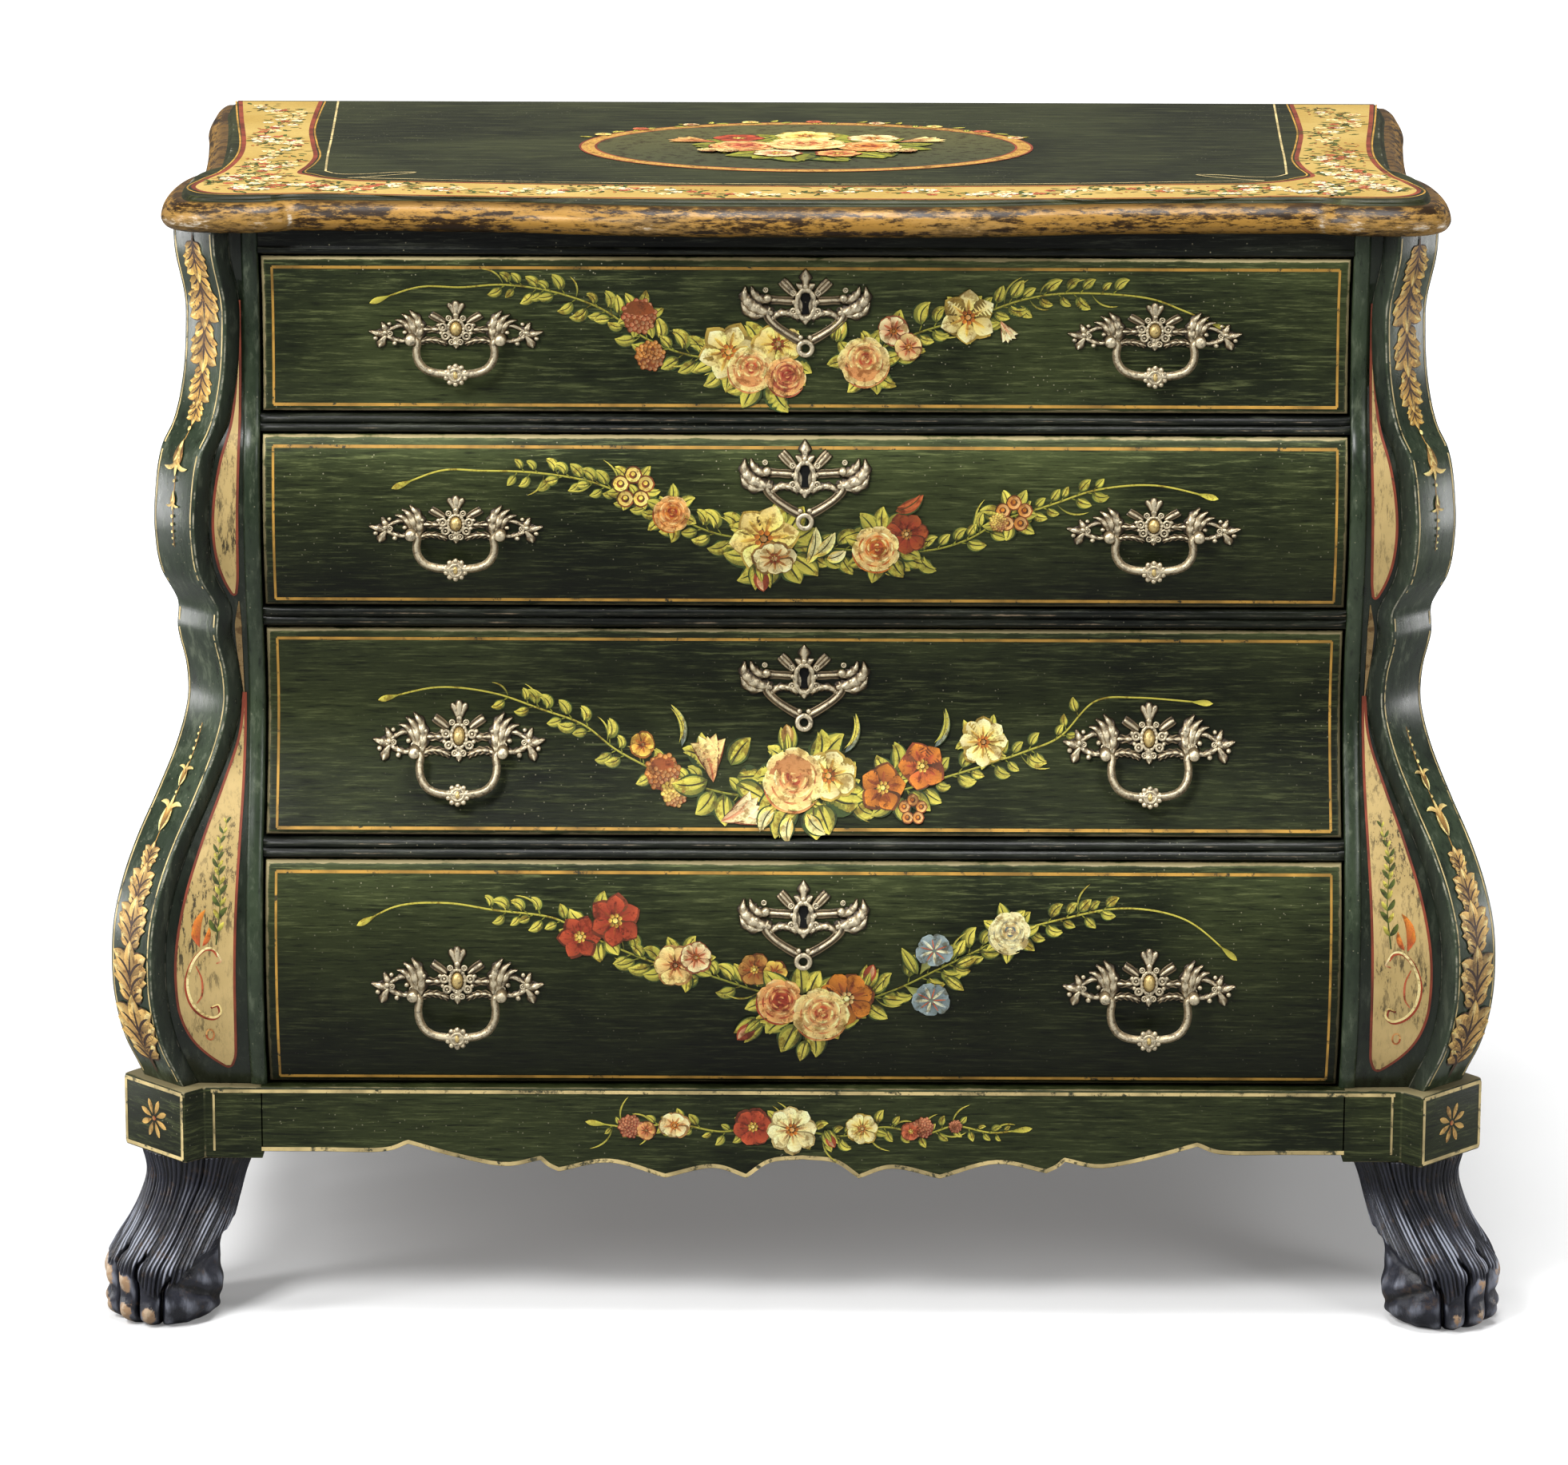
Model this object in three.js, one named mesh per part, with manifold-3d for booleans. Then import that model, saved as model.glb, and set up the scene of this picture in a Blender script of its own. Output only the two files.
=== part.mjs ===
// A painted bombe chest: a swelling case of four long drawers between canted corner trusses, on a shaped
// plinth with four carved paw feet, under a serpentine top with a thumb moulding.
// Millimetres. X runs to the viewer's right, Y to the back, Z up. While it is being built, Y is zero on the
// case front where the case is narrowest, and Z is zero on the floor.

import * as THREE from "three";
import { mergeVertices } from "three/addons/utils/BufferGeometryUtils.js";
import { TessellateModifier } from "three/addons/modifiers/TessellateModifier.js";
import Module from "manifold-3d";

const wasm = await Module();
wasm.setup();

// Clearances
const jointGap = 0.3;
const frontGap = 2;
const cutOverrun = 2;
const mergeTolerance = 1e-4;

// Heights, from the floor up. The drawers are listed from the lowest to the highest.
const plinthHeight = 180;
const footHeight = 125;
const drawerFrontHeights = [171, 150, 127, 114];
const railHeights = [13, 14, 12];
const topRailHeight = 17;
const topThickness = 26;

// Case in plan
const openingHalf = 397;
const beadWidth = 12;
const beadProud = 2.6;
const trussReveal = 2;
const trussProud = 14.1;
const trussFaceWidth = 46.4;
const postDepth = 60;
const caseDepth = 507;
const sideThickness = 18;
const backThickness = 16;
const beadShares = [
  [0, -0.5],
  [0.17, 0.6],
  [0.5, 1],
  [0.83, 0.6],
  [1, 0],
];

// Swelling of the case outside its narrowest line
const bellySwell = 57.5;
const shoulderSwell = 23.3;
const bellyShares = [
  [0, 0.655],
  [0.016, 0.72],
  [0.05, 0.86],
  [0.095, 0.965],
  [0.134, 1],
  [0.197, 0.969],
  [0.248, 0.843],
  [0.292, 0.671],
  [0.338, 0.445],
  [0.398, 0.181],
  [0.445, 0.061],
  [0.483, 0.07],
];
const shoulderShares = [
  [0.536, 0.42],
  [0.572, 0.63],
  [0.601, 0.83],
  [0.648, 1],
  [0.686, 0.985],
  [0.748, 0.738],
  [0.773, 0.42],
  [0.822, 0.124],
  [0.891, 0],
  [0.915, 0.013],
  [0.973, 0.275],
  [1, 0.31],
];
const trussShoulderShares = [
  [0.53, 0.4],
  [0.561, 0.38],
  [0.573, 0.5],
  ...shoulderShares.slice(2),
];

// Top board: half outline from the middle of the front to the back corner, and the section of its edge
const topHalfWidth = 478;
const topFrontReach = 43;
const topBackReach = 4;
const nosingDepth = 19;
const topOutlineShares = [
  [0.105, 0],
  [0.232, 0.0036],
  [0.345, 0.018],
  [0.456, 0.034],
  [0.596, 0.0415],
  [0.711, 0.0433],
  [0.768, 0.046],
  [0.795, 0.0343],
  [0.837, 0.0235],
  [0.9, 0.0226],
  [0.941, 0.0325],
  [0.964, 0.0505],
  [0.977, 0.083],
  [0.983, 0.132],
  [0.985, 0.18],
  [0.983, 0.231],
  [0.977, 0.274],
  [0.962, 0.321],
  [0.95, 0.35],
  [0.954, 0.448],
  [0.966, 0.599],
  [0.983, 0.763],
  [0.996, 0.872],
  [1, 1],
];
const nosingShares = [
  [0, 0.5],
  [0.1, 0.12],
  [0.26, 0],
  [0.5, 0.06],
  [0.72, 0.3],
  [0.86, 0.62],
  [0.9, 0.9],
  [1, 1],
];

// Plinth
const apronProud = 9.5;
const apronThickness = 22;
const apronDrop = 69.5;
const blockReveal = 46;
const blockProud = 19.5;
const blockFaceWidth = 70;
const blockLap = 3;
const frontBlockBack = 45;
const blockSideTurn = 9;
const rearBlockLength = 92;
const bottomBoardThickness = 17;
const apronStrokeSteps = 3;
const apronStrokeShares = [
  [[0, 0.79], [0.06, 0.83], [0.104, 1]],
  [[0.104, 1], [0.167, 0.89], [0.254, 1]],
  [[0.254, 1], [0.357, 0.835], [0.451, 0.935]],
  [[0.451, 0.935], [0.47, 0.88], [0.484, 0.806]],
  [[0.484, 0.806], [0.551, 0.878], [0.64, 0.78], [0.729, 0.633]],
  [[0.729, 0.633], [0.777, 0.72], [0.89, 0.72]],
];

// Feet
const ankleInset = 8;
const rearAnkleInset = 40;
const rearAnkleFromBack = 47;
const pawReach = 36;
const pawRadius = 47;
const toeSlit = 7;
const pawSides = 16;
const toeSides = 2;
const pawShares = [
  [0, 0.97, 0.92, 1],
  [0.05, 0.98, 0.98, 1],
  [0.2, 1, 1, 1],
  [0.36, 0.97, 0.99, 0.8],
  [0.46, 0.72, 0.9, 0.3],
  [0.58, 0.48, 0.862, 0],
  [0.72, 0.24, 0.894, 0],
  [0.88, 0.07, 0.947, 0],
  [1, 0, 0.968, 0],
];

// Drawers
const frontEdgeRadius = 4;
const frontEdgeShares = [0, 0.3, 1];
const frontThickness = 22;
const frontRowStep = 12;
const caseRowStep = 20;
const boxWall = 12;
const boxBottomThickness = 8;
const boxBottomRaise = 5;
const boxSideClearance = 5;
const boxHeadroom = 8;
const boxBackClearance = 11;
const guideWidth = 16;
const guideHeight = 14;
const guideClearance = 1.5;
const dustBoardThickness = 10;
const railMouldingDepth = 20;
const railSectionShares = [
  [0, 0],
  [0.1, 0.7],
  [0.25, 1],
  [0.4, 0.7],
  [0.5, 0.2],
  [0.6, 0.7],
  [0.75, 1],
  [0.9, 0.7],
  [1, 0],
];
const topRailDepth = 40;
const topRailRowStep = 6;

// Pulls, with the bail hanging from two posts below the boss. Drops are measured from the front's top edge.
// Each list has a size for each drawer, from the lowest up: the two upper drawers carry shallower pulls.
const pullInset = 141;
const pullDrops = [87, 81, 63.5, 53.5];
const plateThickness = 2.4;
const plateHalfWidth = 62;
const plateRises = [25.5, 25.5, 20.5, 20.5];
const plateFalls = [17, 17, 13.6, 13.6];
const postSpacing = 65;
const pivotDrops = [10, 10, 7, 7];
const pivotStandoff = 10;
const postRadius = 4;
const bailRadius = 2;
const bailDrops = [31.3, 31.3, 25, 25];
const bailArmInset = 6.5;
const bossWidth = 9;
const bossHeight = 16;
const bossProud = 6;
const shellWidth = 20;
const shellHeight = 13;
const shellThickness = 7;
const roundSides = 6;
const bossSides = 8;
const domeShares = [0, 0.35, 0.7, 1];
const bailPinShares = [
  [1.1, 0],
  [0.4, 0.3],
  [0, 1.2],
];
const bailArmShares = [
  [1, 0.35],
  [0.92, 0.62],
  [0.74, 0.83],
  [0.45, 0.96],
  [0.15, 1],
];
const plateBendStep = 13;
const plateSqueezeShare = 0.1;
const plateCutPasses = 24;
const plateShares = [
  [0, 1],
  [0.06, 0.92],
  [0.1, 0.76],
  [0.07, 0.6],
  [0.07, 0.46],
  [0.17, 0.57],
  [0.31, 0.53],
  [0.19, 0.3],
  [0.14, 0.14],
  [0.22, 0.12],
  [0.4, 0.12],
  [0.45, 0.26],
  [0.48, 0.46],
  [0.56, 0.6],
  [0.66, 0.5],
  [0.69, 0.2],
  [0.72, 0.04],
  [0.8, -0.02],
  [0.84, 0.16],
  [0.89, 0.18],
  [0.94, -0.06],
  [1, -0.12],
];
const plateLowerShares = [
  [0.98, -0.55],
  [0.92, -0.95],
  [0.86, -0.7],
  [0.8, -0.62],
  [0.68, -0.95],
  [0.54, -1.1],
  [0.44, -1.02],
  [0.36, -0.66],
  [0.22, -0.5],
  [0.1, -0.6],
  [0.05, -0.94],
  [0, -1],
];
const plateHoleShares = [
  [[0.2, -0.29], [0.4, -0.24], [0.405, -0.8], [0.34, -0.5], [0.22, -0.36]],
  [[0.66, -0.2], [0.74, -0.14], [0.78, -0.3], [0.74, -0.48], [0.66, -0.44]],
];

// Locks and their escutcheons
const keyholeDrops = [39, 38, 28.5, 34.5];
const escutcheonHalfWidth = 46;
const escutcheonRise = 25.5;
const escutcheonFall = 42;
const keyholeHeight = 15;
const keyholeWidth = 8;
const keyholeWaist = 5.5;
const keyholePocket = 1.1;
const keyholeSteps = 5;
const escutcheonRingHole = 3.3;
const lockPlateWidth = 60;
const lockPlateHeight = 44;
const lockPlateThickness = 2.5;
const lockCaseWidth = 46;
const lockCaseHeight = 32;
const lockCaseDepth = 9;
const escutcheonShares = [
  [0, 1],
  [0.07, 0.8],
  [0.1, 0.55],
  [0.16, 0.42],
  [0.26, 0.63],
  [0.38, 0.57],
  [0.28, 0.24],
  [0.22, 0.12],
  [0.3, 0.1],
  [0.54, 0.16],
  [0.64, 0.2],
  [0.78, 0.24],
  [0.9, 0.42],
  [0.98, 0.42],
  [1, 0.1],
];
const escutcheonLowerShares = [
  [0.97, -0.09],
  [0.8, -0.24],
  [0.62, -0.2],
  [0.5, -0.4],
  [0.27, -0.6],
  [0.12, -0.69],
  [0.145, -0.8],
  [0.1, -0.94],
  [0, -1],
];
const escutcheonHoleShares = [
  [[0.27, -0.07], [0.58, -0.05], [0.5, -0.24], [0.42, -0.26], [0.3, -0.18]],
];
const escutcheonLensShares = [
  [0, -0.4],
  [0.09, -0.33],
  [0.27, -0.28],
  [0.45, -0.33],
  [0.4, -0.4],
  [0.22, -0.53],
  [0, -0.62],
];
const escutcheonRingCentreShare = -0.84;

// Values that follow from the sizes above
const turn45 = Math.SQRT1_2;
const trussSpan = trussFaceWidth * turn45;
const trussReturn = trussProud * turn45;
const trussStart = openingHalf + beadWidth + trussReveal;
const caseHalf = trussStart + trussSpan;
const backInner = caseDepth - backThickness;
const boxEnd = backInner - boxBackClearance;
const pullOffset = openingHalf - frontGap - pullInset;
const railTops = [plinthHeight];
const frontBottoms = [];
drawerFrontHeights.forEach((height, row) => {
  frontBottoms.push(railTops[row] + frontGap);
  const frontTop = frontBottoms[row] + height;
  if (row < railHeights.length) {
    railTops.push(frontTop + frontGap + railHeights[row]);
  }
});
const topRailBottom = frontBottoms.at(-1) + drawerFrontHeights.at(-1) + frontGap;
const caseTop = topRailBottom + topRailHeight;
const overallHeight = caseTop + topThickness;
const topDepth = topFrontReach + caseDepth + topBackReach;
const apronFront = -(bellySwell * bellyShares[0][1] + apronProud);
const apronSide = caseHalf + bellySwell * bellyShares[0][1] + apronProud;
const blockSpan = blockFaceWidth * turn45;
const blockReturn = blockProud * turn45;
const blockStart = openingHalf + blockReveal;
const blockInner = openingHalf + blockLap;
const ankleCentreX = blockStart + ankleInset;
const rearAnkleX = openingHalf + rearAnkleInset;
const rearAnkleY = caseDepth - rearAnkleFromBack;

// Materials: colour, roughness and metalness of each finish
const finish = (color, roughness, metalness = 0) => ({ color, roughness, metalness });
const blackGreenPaint = finish(0x23271f, 0.45);
const bodyPaint = finish(0x2b2e24, 0.5);
const topPaint = finish(0x3a3d2c, 0.42);
const creamPaint = finish(0xb99a55, 0.5);
const footPaint = finish(0x4d463c, 0.55);
const bareWood = finish(0x8a6a45, 0.8);
const agedBrass = finish(0x8c6a3a, 0.38, 0.9);
const lockSteel = finish(0x55524d, 0.5, 0.85);

// Swelling of the case at a height, as a smooth curve through the shares
function swellCurve(upperShares) {
  const points = [
    ...bellyShares.map(([height, share]) => [height, share * bellySwell]),
    ...upperShares.map(([height, share]) => [height, share * shoulderSwell]),
  ];
  const heights = points.map(([height]) => plinthHeight + height * (caseTop - plinthHeight));
  const curve = new THREE.CubicInterpolant(heights, points.map(([, swell]) => swell), 1);
  return (z) => curve.evaluate(z)[0];
}
const swellAt = swellCurve(shoulderShares);
const trussSwellAt = swellCurve(trussShoulderShares);

// Heights at which a swelling piece has a row of corners
function rowsBetween(bottom, top, step = frontRowStep) {
  const count = Math.max(2, Math.round((top - bottom) / step));
  return Array.from({ length: count + 1 }, (_, i) => bottom + ((top - bottom) * i) / count);
}

// Closed bodies and booleans

function positionsOnly(geometry) {
  const bare = geometry.index ? geometry.toNonIndexed() : geometry.clone();
  return new THREE.BufferGeometry().setAttribute("position", bare.getAttribute("position"));
}

function solidOf(geometry) {
  const merged = mergeVertices(positionsOnly(geometry), mergeTolerance);
  return new wasm.Manifold(
    new wasm.Mesh({
      numProp: 3,
      vertProperties: merged.attributes.position.array,
      triVerts: new Uint32Array(merged.index.array),
    }),
  );
}

function geometryOf(solid) {
  const mesh = solid.getMesh();
  return new THREE.BufferGeometry()
    .setAttribute("position", new THREE.BufferAttribute(mesh.vertProperties, 3))
    .setIndex(new THREE.BufferAttribute(mesh.triVerts, 1));
}

function joined(pieces, cuts = []) {
  let solid = solidOf(pieces[0]);
  for (const piece of pieces.slice(1)) {
    solid = solid.add(solidOf(piece));
  }
  for (const cut of cuts) {
    solid = solid.subtract(solidOf(cut));
  }
  return geometryOf(solid);
}

function box(x0, x1, y0, y1, z0, z1) {
  return new THREE.BoxGeometry(x1 - x0, y1 - y0, z1 - z0).translate(
    (x0 + x1) / 2,
    (y0 + y1) / 2,
    (z0 + z1) / 2,
  );
}

const axisX = new THREE.Vector3(1, 0, 0);
const axisY = new THREE.Vector3(0, 1, 0);
const axisZ = new THREE.Vector3(0, 0, 1);
const axisMinusY = new THREE.Vector3(0, -1, 0);

// A prism of an outline in the plane across the named axis, between two places on that axis
function prism(axis, outline, from, to) {
  const shape = new THREE.Shape(outline.map(([u, v]) => new THREE.Vector2(u, v)));
  const geometry = new THREE.ExtrudeGeometry(shape, { depth: to - from, bevelEnabled: false });
  const turns = {
    x: new THREE.Matrix4().makeBasis(axisY, axisZ, axisX).setPosition(from, 0, 0),
    y: new THREE.Matrix4().makeBasis(axisX, axisZ, axisMinusY).setPosition(0, to, 0),
    z: new THREE.Matrix4().setPosition(0, 0, from),
  };
  return geometry.applyMatrix4(turns[axis]);
}

// A closed body through rings of points, each ring with as many points as the next. The end rings are
// filled flat, from their outlines seen along the direction of view.
function loft(rings, view = (p) => new THREE.Vector2(p.x, p.y)) {
  const sides = rings[0].length;
  const triangles = [];
  const cap = (ring, last) => {
    const outline = ring.map(view);
    const kept = THREE.ShapeUtils.isClockWise(outline) !== last;
    for (const [a, b, c] of THREE.ShapeUtils.triangulateShape(outline, [])) {
      triangles.push(kept ? [ring[a], ring[b], ring[c]] : [ring[a], ring[c], ring[b]]);
    }
  };
  cap(rings[0], false);
  for (let i = 1; i < rings.length; i++) {
    const below = rings[i - 1];
    const above = rings[i];
    for (let k = 0; k < sides; k++) {
      const next = (k + 1) % sides;
      triangles.push([below[k], below[next], above[next]]);
      triangles.push([below[k], above[next], above[k]]);
    }
  }
  cap(rings.at(-1), true);
  return facingOut(triangles);
}

// The triangles as a geometry, turned over when the volume that they enclose comes out negative
function facingOut(triangles) {
  const volume = triangles.reduce((sum, [a, b, c]) => sum + a.dot(b.clone().cross(c)), 0);
  const ordered = volume < 0 ? triangles.map(([a, b, c]) => [a, c, b]) : triangles;
  return new THREE.BufferGeometry().setFromPoints(ordered.flat());
}

// Corner posts: the bead beside the drawers, the flat reserve and the canted truss

function postRing(z, side) {
  const swell = swellAt(z);
  const trussSwell = trussSwellAt(z);
  const front = -swell;
  const bead = beadShares.map(([along, proud]) => [
    openingHalf + along * beadWidth,
    front - proud * beadProud,
  ]);
  const truss = [
    [trussStart + trussSwell, front],
    [trussStart + trussReturn + trussSwell, -trussReturn - trussSwell],
    [caseHalf + trussReturn + trussSwell, trussSpan - trussReturn - trussSwell],
    [caseHalf + trussSwell, trussSpan - trussSwell],
  ];
  const outline = [[openingHalf, postDepth], ...bead, ...truss, [caseHalf + trussSwell, postDepth]];
  return outline.map(([x, y]) => new THREE.Vector3(side * x, y, z));
}

function cornerPost(side) {
  const bottom = plinthHeight + jointGap;
  return loft(rowsBetween(bottom, caseTop, caseRowStep).map((z) => postRing(z, side)));
}

// Side and back panels

function sidePanel(side) {
  const rows = rowsBetween(plinthHeight + jointGap, caseTop, caseRowStep);
  const outer = rows.map((z) => [side * (caseHalf + swellAt(z)), z]);
  const inner = rows.map((z) => [side * (caseHalf - sideThickness + swellAt(z)), z]).reverse();
  return prism("y", [...outer, ...inner], postDepth + jointGap, caseDepth);
}

function innerHalfAt(z) {
  return caseHalf - sideThickness + swellAt(z) - jointGap;
}

function backPanel() {
  const rows = rowsBetween(plinthHeight + jointGap, caseTop, caseRowStep);
  const right = rows.map((z) => [innerHalfAt(z) - jointGap, z]);
  const left = rows.map((z) => [jointGap - innerHalfAt(z), z]).reverse();
  return prism("y", [...right, ...left], backInner, caseDepth);
}

// Rails and dust boards. A board carries the drawer above it and the two strips that guide it.

function beadedProfile(bottom, top, back) {
  const face = (z) => -swellAt(z);
  const height = top - bottom;
  const edge = railSectionShares.map(([rise, proud]) => {
    const z = bottom + rise * height;
    return [face(z) - proud * beadProud, z];
  });
  return [[back, bottom], ...edge, [back, top]];
}

function guides(seat, back) {
  const inner = openingHalf - boxSideClearance + guideClearance;
  return [-1, 1].map((side) => {
    const ends = [side * inner, side * (inner + guideWidth)].sort((a, b) => a - b);
    return box(...ends, postDepth + jointGap, back, seat - cutOverrun, seat + guideHeight);
  });
}

function divider(row) {
  const top = railTops[row + 1];
  const bottom = top - railHeights[row];
  const boardBottom = top - dustBoardThickness;
  const railEnd = openingHalf - jointGap;
  const wide = Math.min(innerHalfAt(top), innerHalfAt(boardBottom)) - jointGap;
  const back = backInner - jointGap;
  const halfPlan = [
    [railEnd, 0],
    [railEnd, postDepth + jointGap],
    [wide, postDepth + jointGap],
    [wide, back],
  ];
  const plan = [...halfPlan, ...halfPlan.map(([x, y]) => [-x, y]).reverse()];
  return joined([
    prism("x", beadedProfile(bottom, top, railMouldingDepth), -railEnd, railEnd),
    prism("z", plan, boardBottom, top),
    ...guides(top, back),
  ]);
}

function topRail() {
  const face = rowsBetween(topRailBottom, caseTop, topRailRowStep).map((z) => [-swellAt(z), z]);
  const profile = [[topRailDepth, topRailBottom], ...face, [topRailDepth, caseTop]];
  return prism("x", profile, jointGap - openingHalf, openingHalf - jointGap);
}

function carcassBottom() {
  const front = apronFront + apronThickness + jointGap;
  const back = backInner - jointGap;
  const narrow = blockInner - jointGap;
  const wide = apronSide - apronThickness - jointGap;
  const blockEnd = frontBlockBack + jointGap;
  const rearBlock = caseDepth - rearBlockLength - jointGap;
  const halfPlan = [
    [narrow, front],
    [narrow, blockEnd],
    [wide, blockEnd],
    [wide, rearBlock],
    [narrow, rearBlock],
    [narrow, back],
  ];
  const plan = [...halfPlan, ...halfPlan.map(([x, y]) => [-x, y]).reverse()];
  const board = prism("z", plan, plinthHeight - bottomBoardThickness, plinthHeight);
  return joined([board, ...guides(plinthHeight, rearBlock)]);
}

// Top board: rings of its outline, drawn in by the section of the thumb moulding

function topOutline() {
  const front = -topFrontReach;
  const half = topOutlineShares.map(([x, y]) => [x * topHalfWidth, front + y * topDepth]);
  return [...half.map(([x, y]) => [-x, y]).reverse(), ...half].map(([x, y]) => new THREE.Vector2(x, y));
}

function drawnIn(outline, inset) {
  const last = outline.length - 1;
  return outline.map((point, i) => {
    const before = outline[Math.max(i - 1, 0)];
    const after = outline[Math.min(i + 1, last)];
    const along = after.clone().sub(before).normalize();
    const inward = new THREE.Vector2(-along.y, along.x);
    const moved = point.clone().addScaledVector(inward, inset);
    return i === 0 || i === last ? new THREE.Vector2(moved.x, point.y) : moved;
  });
}

function topBoard() {
  const outline = topOutline();
  const underside = caseTop + jointGap;
  const rings = nosingShares.map(([rise, inset]) => {
    const z = underside + rise * (overallHeight - underside);
    return drawnIn(outline, inset * nosingDepth).map((p) => new THREE.Vector3(p.x, p.y, z));
  });
  return loft(rings);
}

// Plinth: scrolled aprons at the front and sides, a plain back rail, and the blocks over the feet

function apronOutline(halfLength) {
  const edge = apronStrokeShares.flatMap((stroke) => {
    const places = stroke.map(([x, y]) => new THREE.Vector2(x * halfLength, plinthHeight - y * apronDrop));
    return new THREE.SplineCurve(places).getPoints(apronStrokeSteps).slice(0, -1);
  });
  const end = apronStrokeShares.at(-1).at(-1);
  const flat = new THREE.Vector2(halfLength, plinthHeight - end[1] * apronDrop);
  const half = [...edge, flat, new THREE.Vector2(halfLength, plinthHeight)];
  const left = half.slice(1).map((p) => new THREE.Vector2(-p.x, p.y)).reverse();
  return [...half, ...left].map((p) => [p.x, p.y]);
}

function frontBlock(side) {
  const outline = [
    [blockInner, apronFront],
    [blockStart, apronFront],
    [blockStart + blockReturn, apronFront - blockReturn],
    [blockStart + blockReturn + blockSpan, apronFront - blockReturn + blockSpan],
    [apronSide, blockSideTurn],
    [apronSide, frontBlockBack],
    [blockInner, frontBlockBack],
  ];
  return prism("z", mirrored(outline, side), footHeight, plinthHeight);
}

function mirrored(outline, side) {
  return side > 0 ? outline : outline.map(([x, y]) => [-x, y]).reverse();
}

function plinth() {
  const rearBlockFront = caseDepth - rearBlockLength;
  const sideMiddle = (frontBlockBack + rearBlockFront) / 2;
  const sideHalf = (rearBlockFront - frontBlockBack) / 2 + cutOverrun;
  const between = blockInner + cutOverrun;
  const railBottom = plinthHeight - apronStrokeShares.at(-1).at(-1)[1] * apronDrop;
  const railTop = plinthHeight - bottomBoardThickness;
  const pieces = [
    prism("y", apronOutline(between), apronFront, apronFront + apronThickness),
    box(-between, between, backInner, caseDepth, railBottom, railTop),
  ];
  for (const side of [-1, 1]) {
    const faces = [side * (apronSide - apronThickness), side * apronSide].sort((a, b) => a - b);
    const sideApron = prism("x", apronOutline(sideHalf), ...faces).translate(0, sideMiddle, 0);
    const ends = [side * blockInner, side * apronSide].sort((a, b) => a - b);
    const rearBlock = box(...ends, rearBlockFront, caseDepth, footHeight, plinthHeight);
    pieces.push(sideApron, frontBlock(side), rearBlock);
  }
  return joined(pieces);
}

// Feet: a furred ankle that swells forward into a paw with four toes

function pawFoot(ankle, heading) {
  const height = footHeight - jointGap;
  const bearing = heading.angle();
  const rings = pawShares.map(([rise, reach, radius, toe]) => {
    const centre = ankle.clone().addScaledVector(heading, reach * pawReach);
    return Array.from({ length: pawSides }, (_, k) => {
      const turn = k > pawSides / 2 ? k - pawSides : k;
      const ahead = Math.abs(turn) <= pawSides / 4;
      const slit = ahead && turn % toeSides === 0 ? toe * toeSlit : 0;
      const out = radius * pawRadius - slit;
      const angle = bearing + (turn * 2 * Math.PI) / pawSides;
      const x = centre.x + out * Math.cos(angle);
      const y = centre.y + out * Math.sin(angle);
      return new THREE.Vector3(x, y, rise * height);
    });
  });
  return loft(rings);
}

// Drawers

// The front of a drawer: swelling with the case, with its four edges rounded over, and flat behind
function drawerFront(row) {
  const bottom = frontBottoms[row];
  const top = bottom + drawerFrontHeights[row];
  const half = openingHalf - frontGap;
  const rim = frontEdgeShares.map((share) => share * frontEdgeRadius);
  const columns = [...rim.map((d) => d - half), ...rim.map((d) => half - d).reverse()];
  const middle = rowsBetween(bottom + frontEdgeRadius, top - frontEdgeRadius);
  const rows = [bottom, bottom + rim[1], ...middle, top - rim[1], top];
  const roundOver = (distance) => {
    const short = frontEdgeRadius - Math.min(distance, frontEdgeRadius);
    return frontEdgeRadius - Math.sqrt(frontEdgeRadius ** 2 - short ** 2);
  };
  const face = (x, z) => {
    const sideways = roundOver(half - Math.abs(x));
    const upright = roundOver(Math.min(z - bottom, top - z));
    return new THREE.Vector3(x, Math.max(sideways, upright) - swellAt(z), z);
  };
  const grid = rows.map((z) => columns.map((x) => face(x, z)));
  const back = frontBack(row);
  const triangles = [];
  const quad = (a, b, c, d) => triangles.push([a, b, c], [a, c, d]);
  for (let i = 1; i < rows.length; i++) {
    for (let k = 1; k < columns.length; k++) {
      quad(grid[i - 1][k - 1], grid[i - 1][k], grid[i][k], grid[i][k - 1]);
    }
  }
  const rimPoints = [
    ...grid[0],
    ...grid.slice(1).map((line) => line.at(-1)),
    ...grid.at(-1).slice(0, -1).reverse(),
    ...grid.slice(1, -1).map((line) => line[0]).reverse(),
  ];
  const centre = new THREE.Vector3(0, back, (bottom + top) / 2);
  rimPoints.forEach((point, i) => {
    const next = rimPoints[(i + 1) % rimPoints.length];
    const behind = new THREE.Vector3(point.x, back, point.z);
    const nextBehind = new THREE.Vector3(next.x, back, next.z);
    quad(next, point, behind, nextBehind);
    triangles.push([behind, centre, nextBehind]);
  });
  const hole = new THREE.Shape(keyholeOutline().getPoints(keyholeSteps));
  const pocket = keyholePocket + plateThickness;
  const keyhole = warped(hole, keyholeZ(row), 0, (z) => swellAt(z) - keyholePocket, pocket);
  return joined([facingOut(triangles)], [keyhole]);
}

function frontBack(row) {
  const bottom = frontBottoms[row];
  const swells = rowsBetween(bottom, bottom + drawerFrontHeights[row]).map(swellAt);
  return frontThickness - Math.min(...swells);
}

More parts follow.
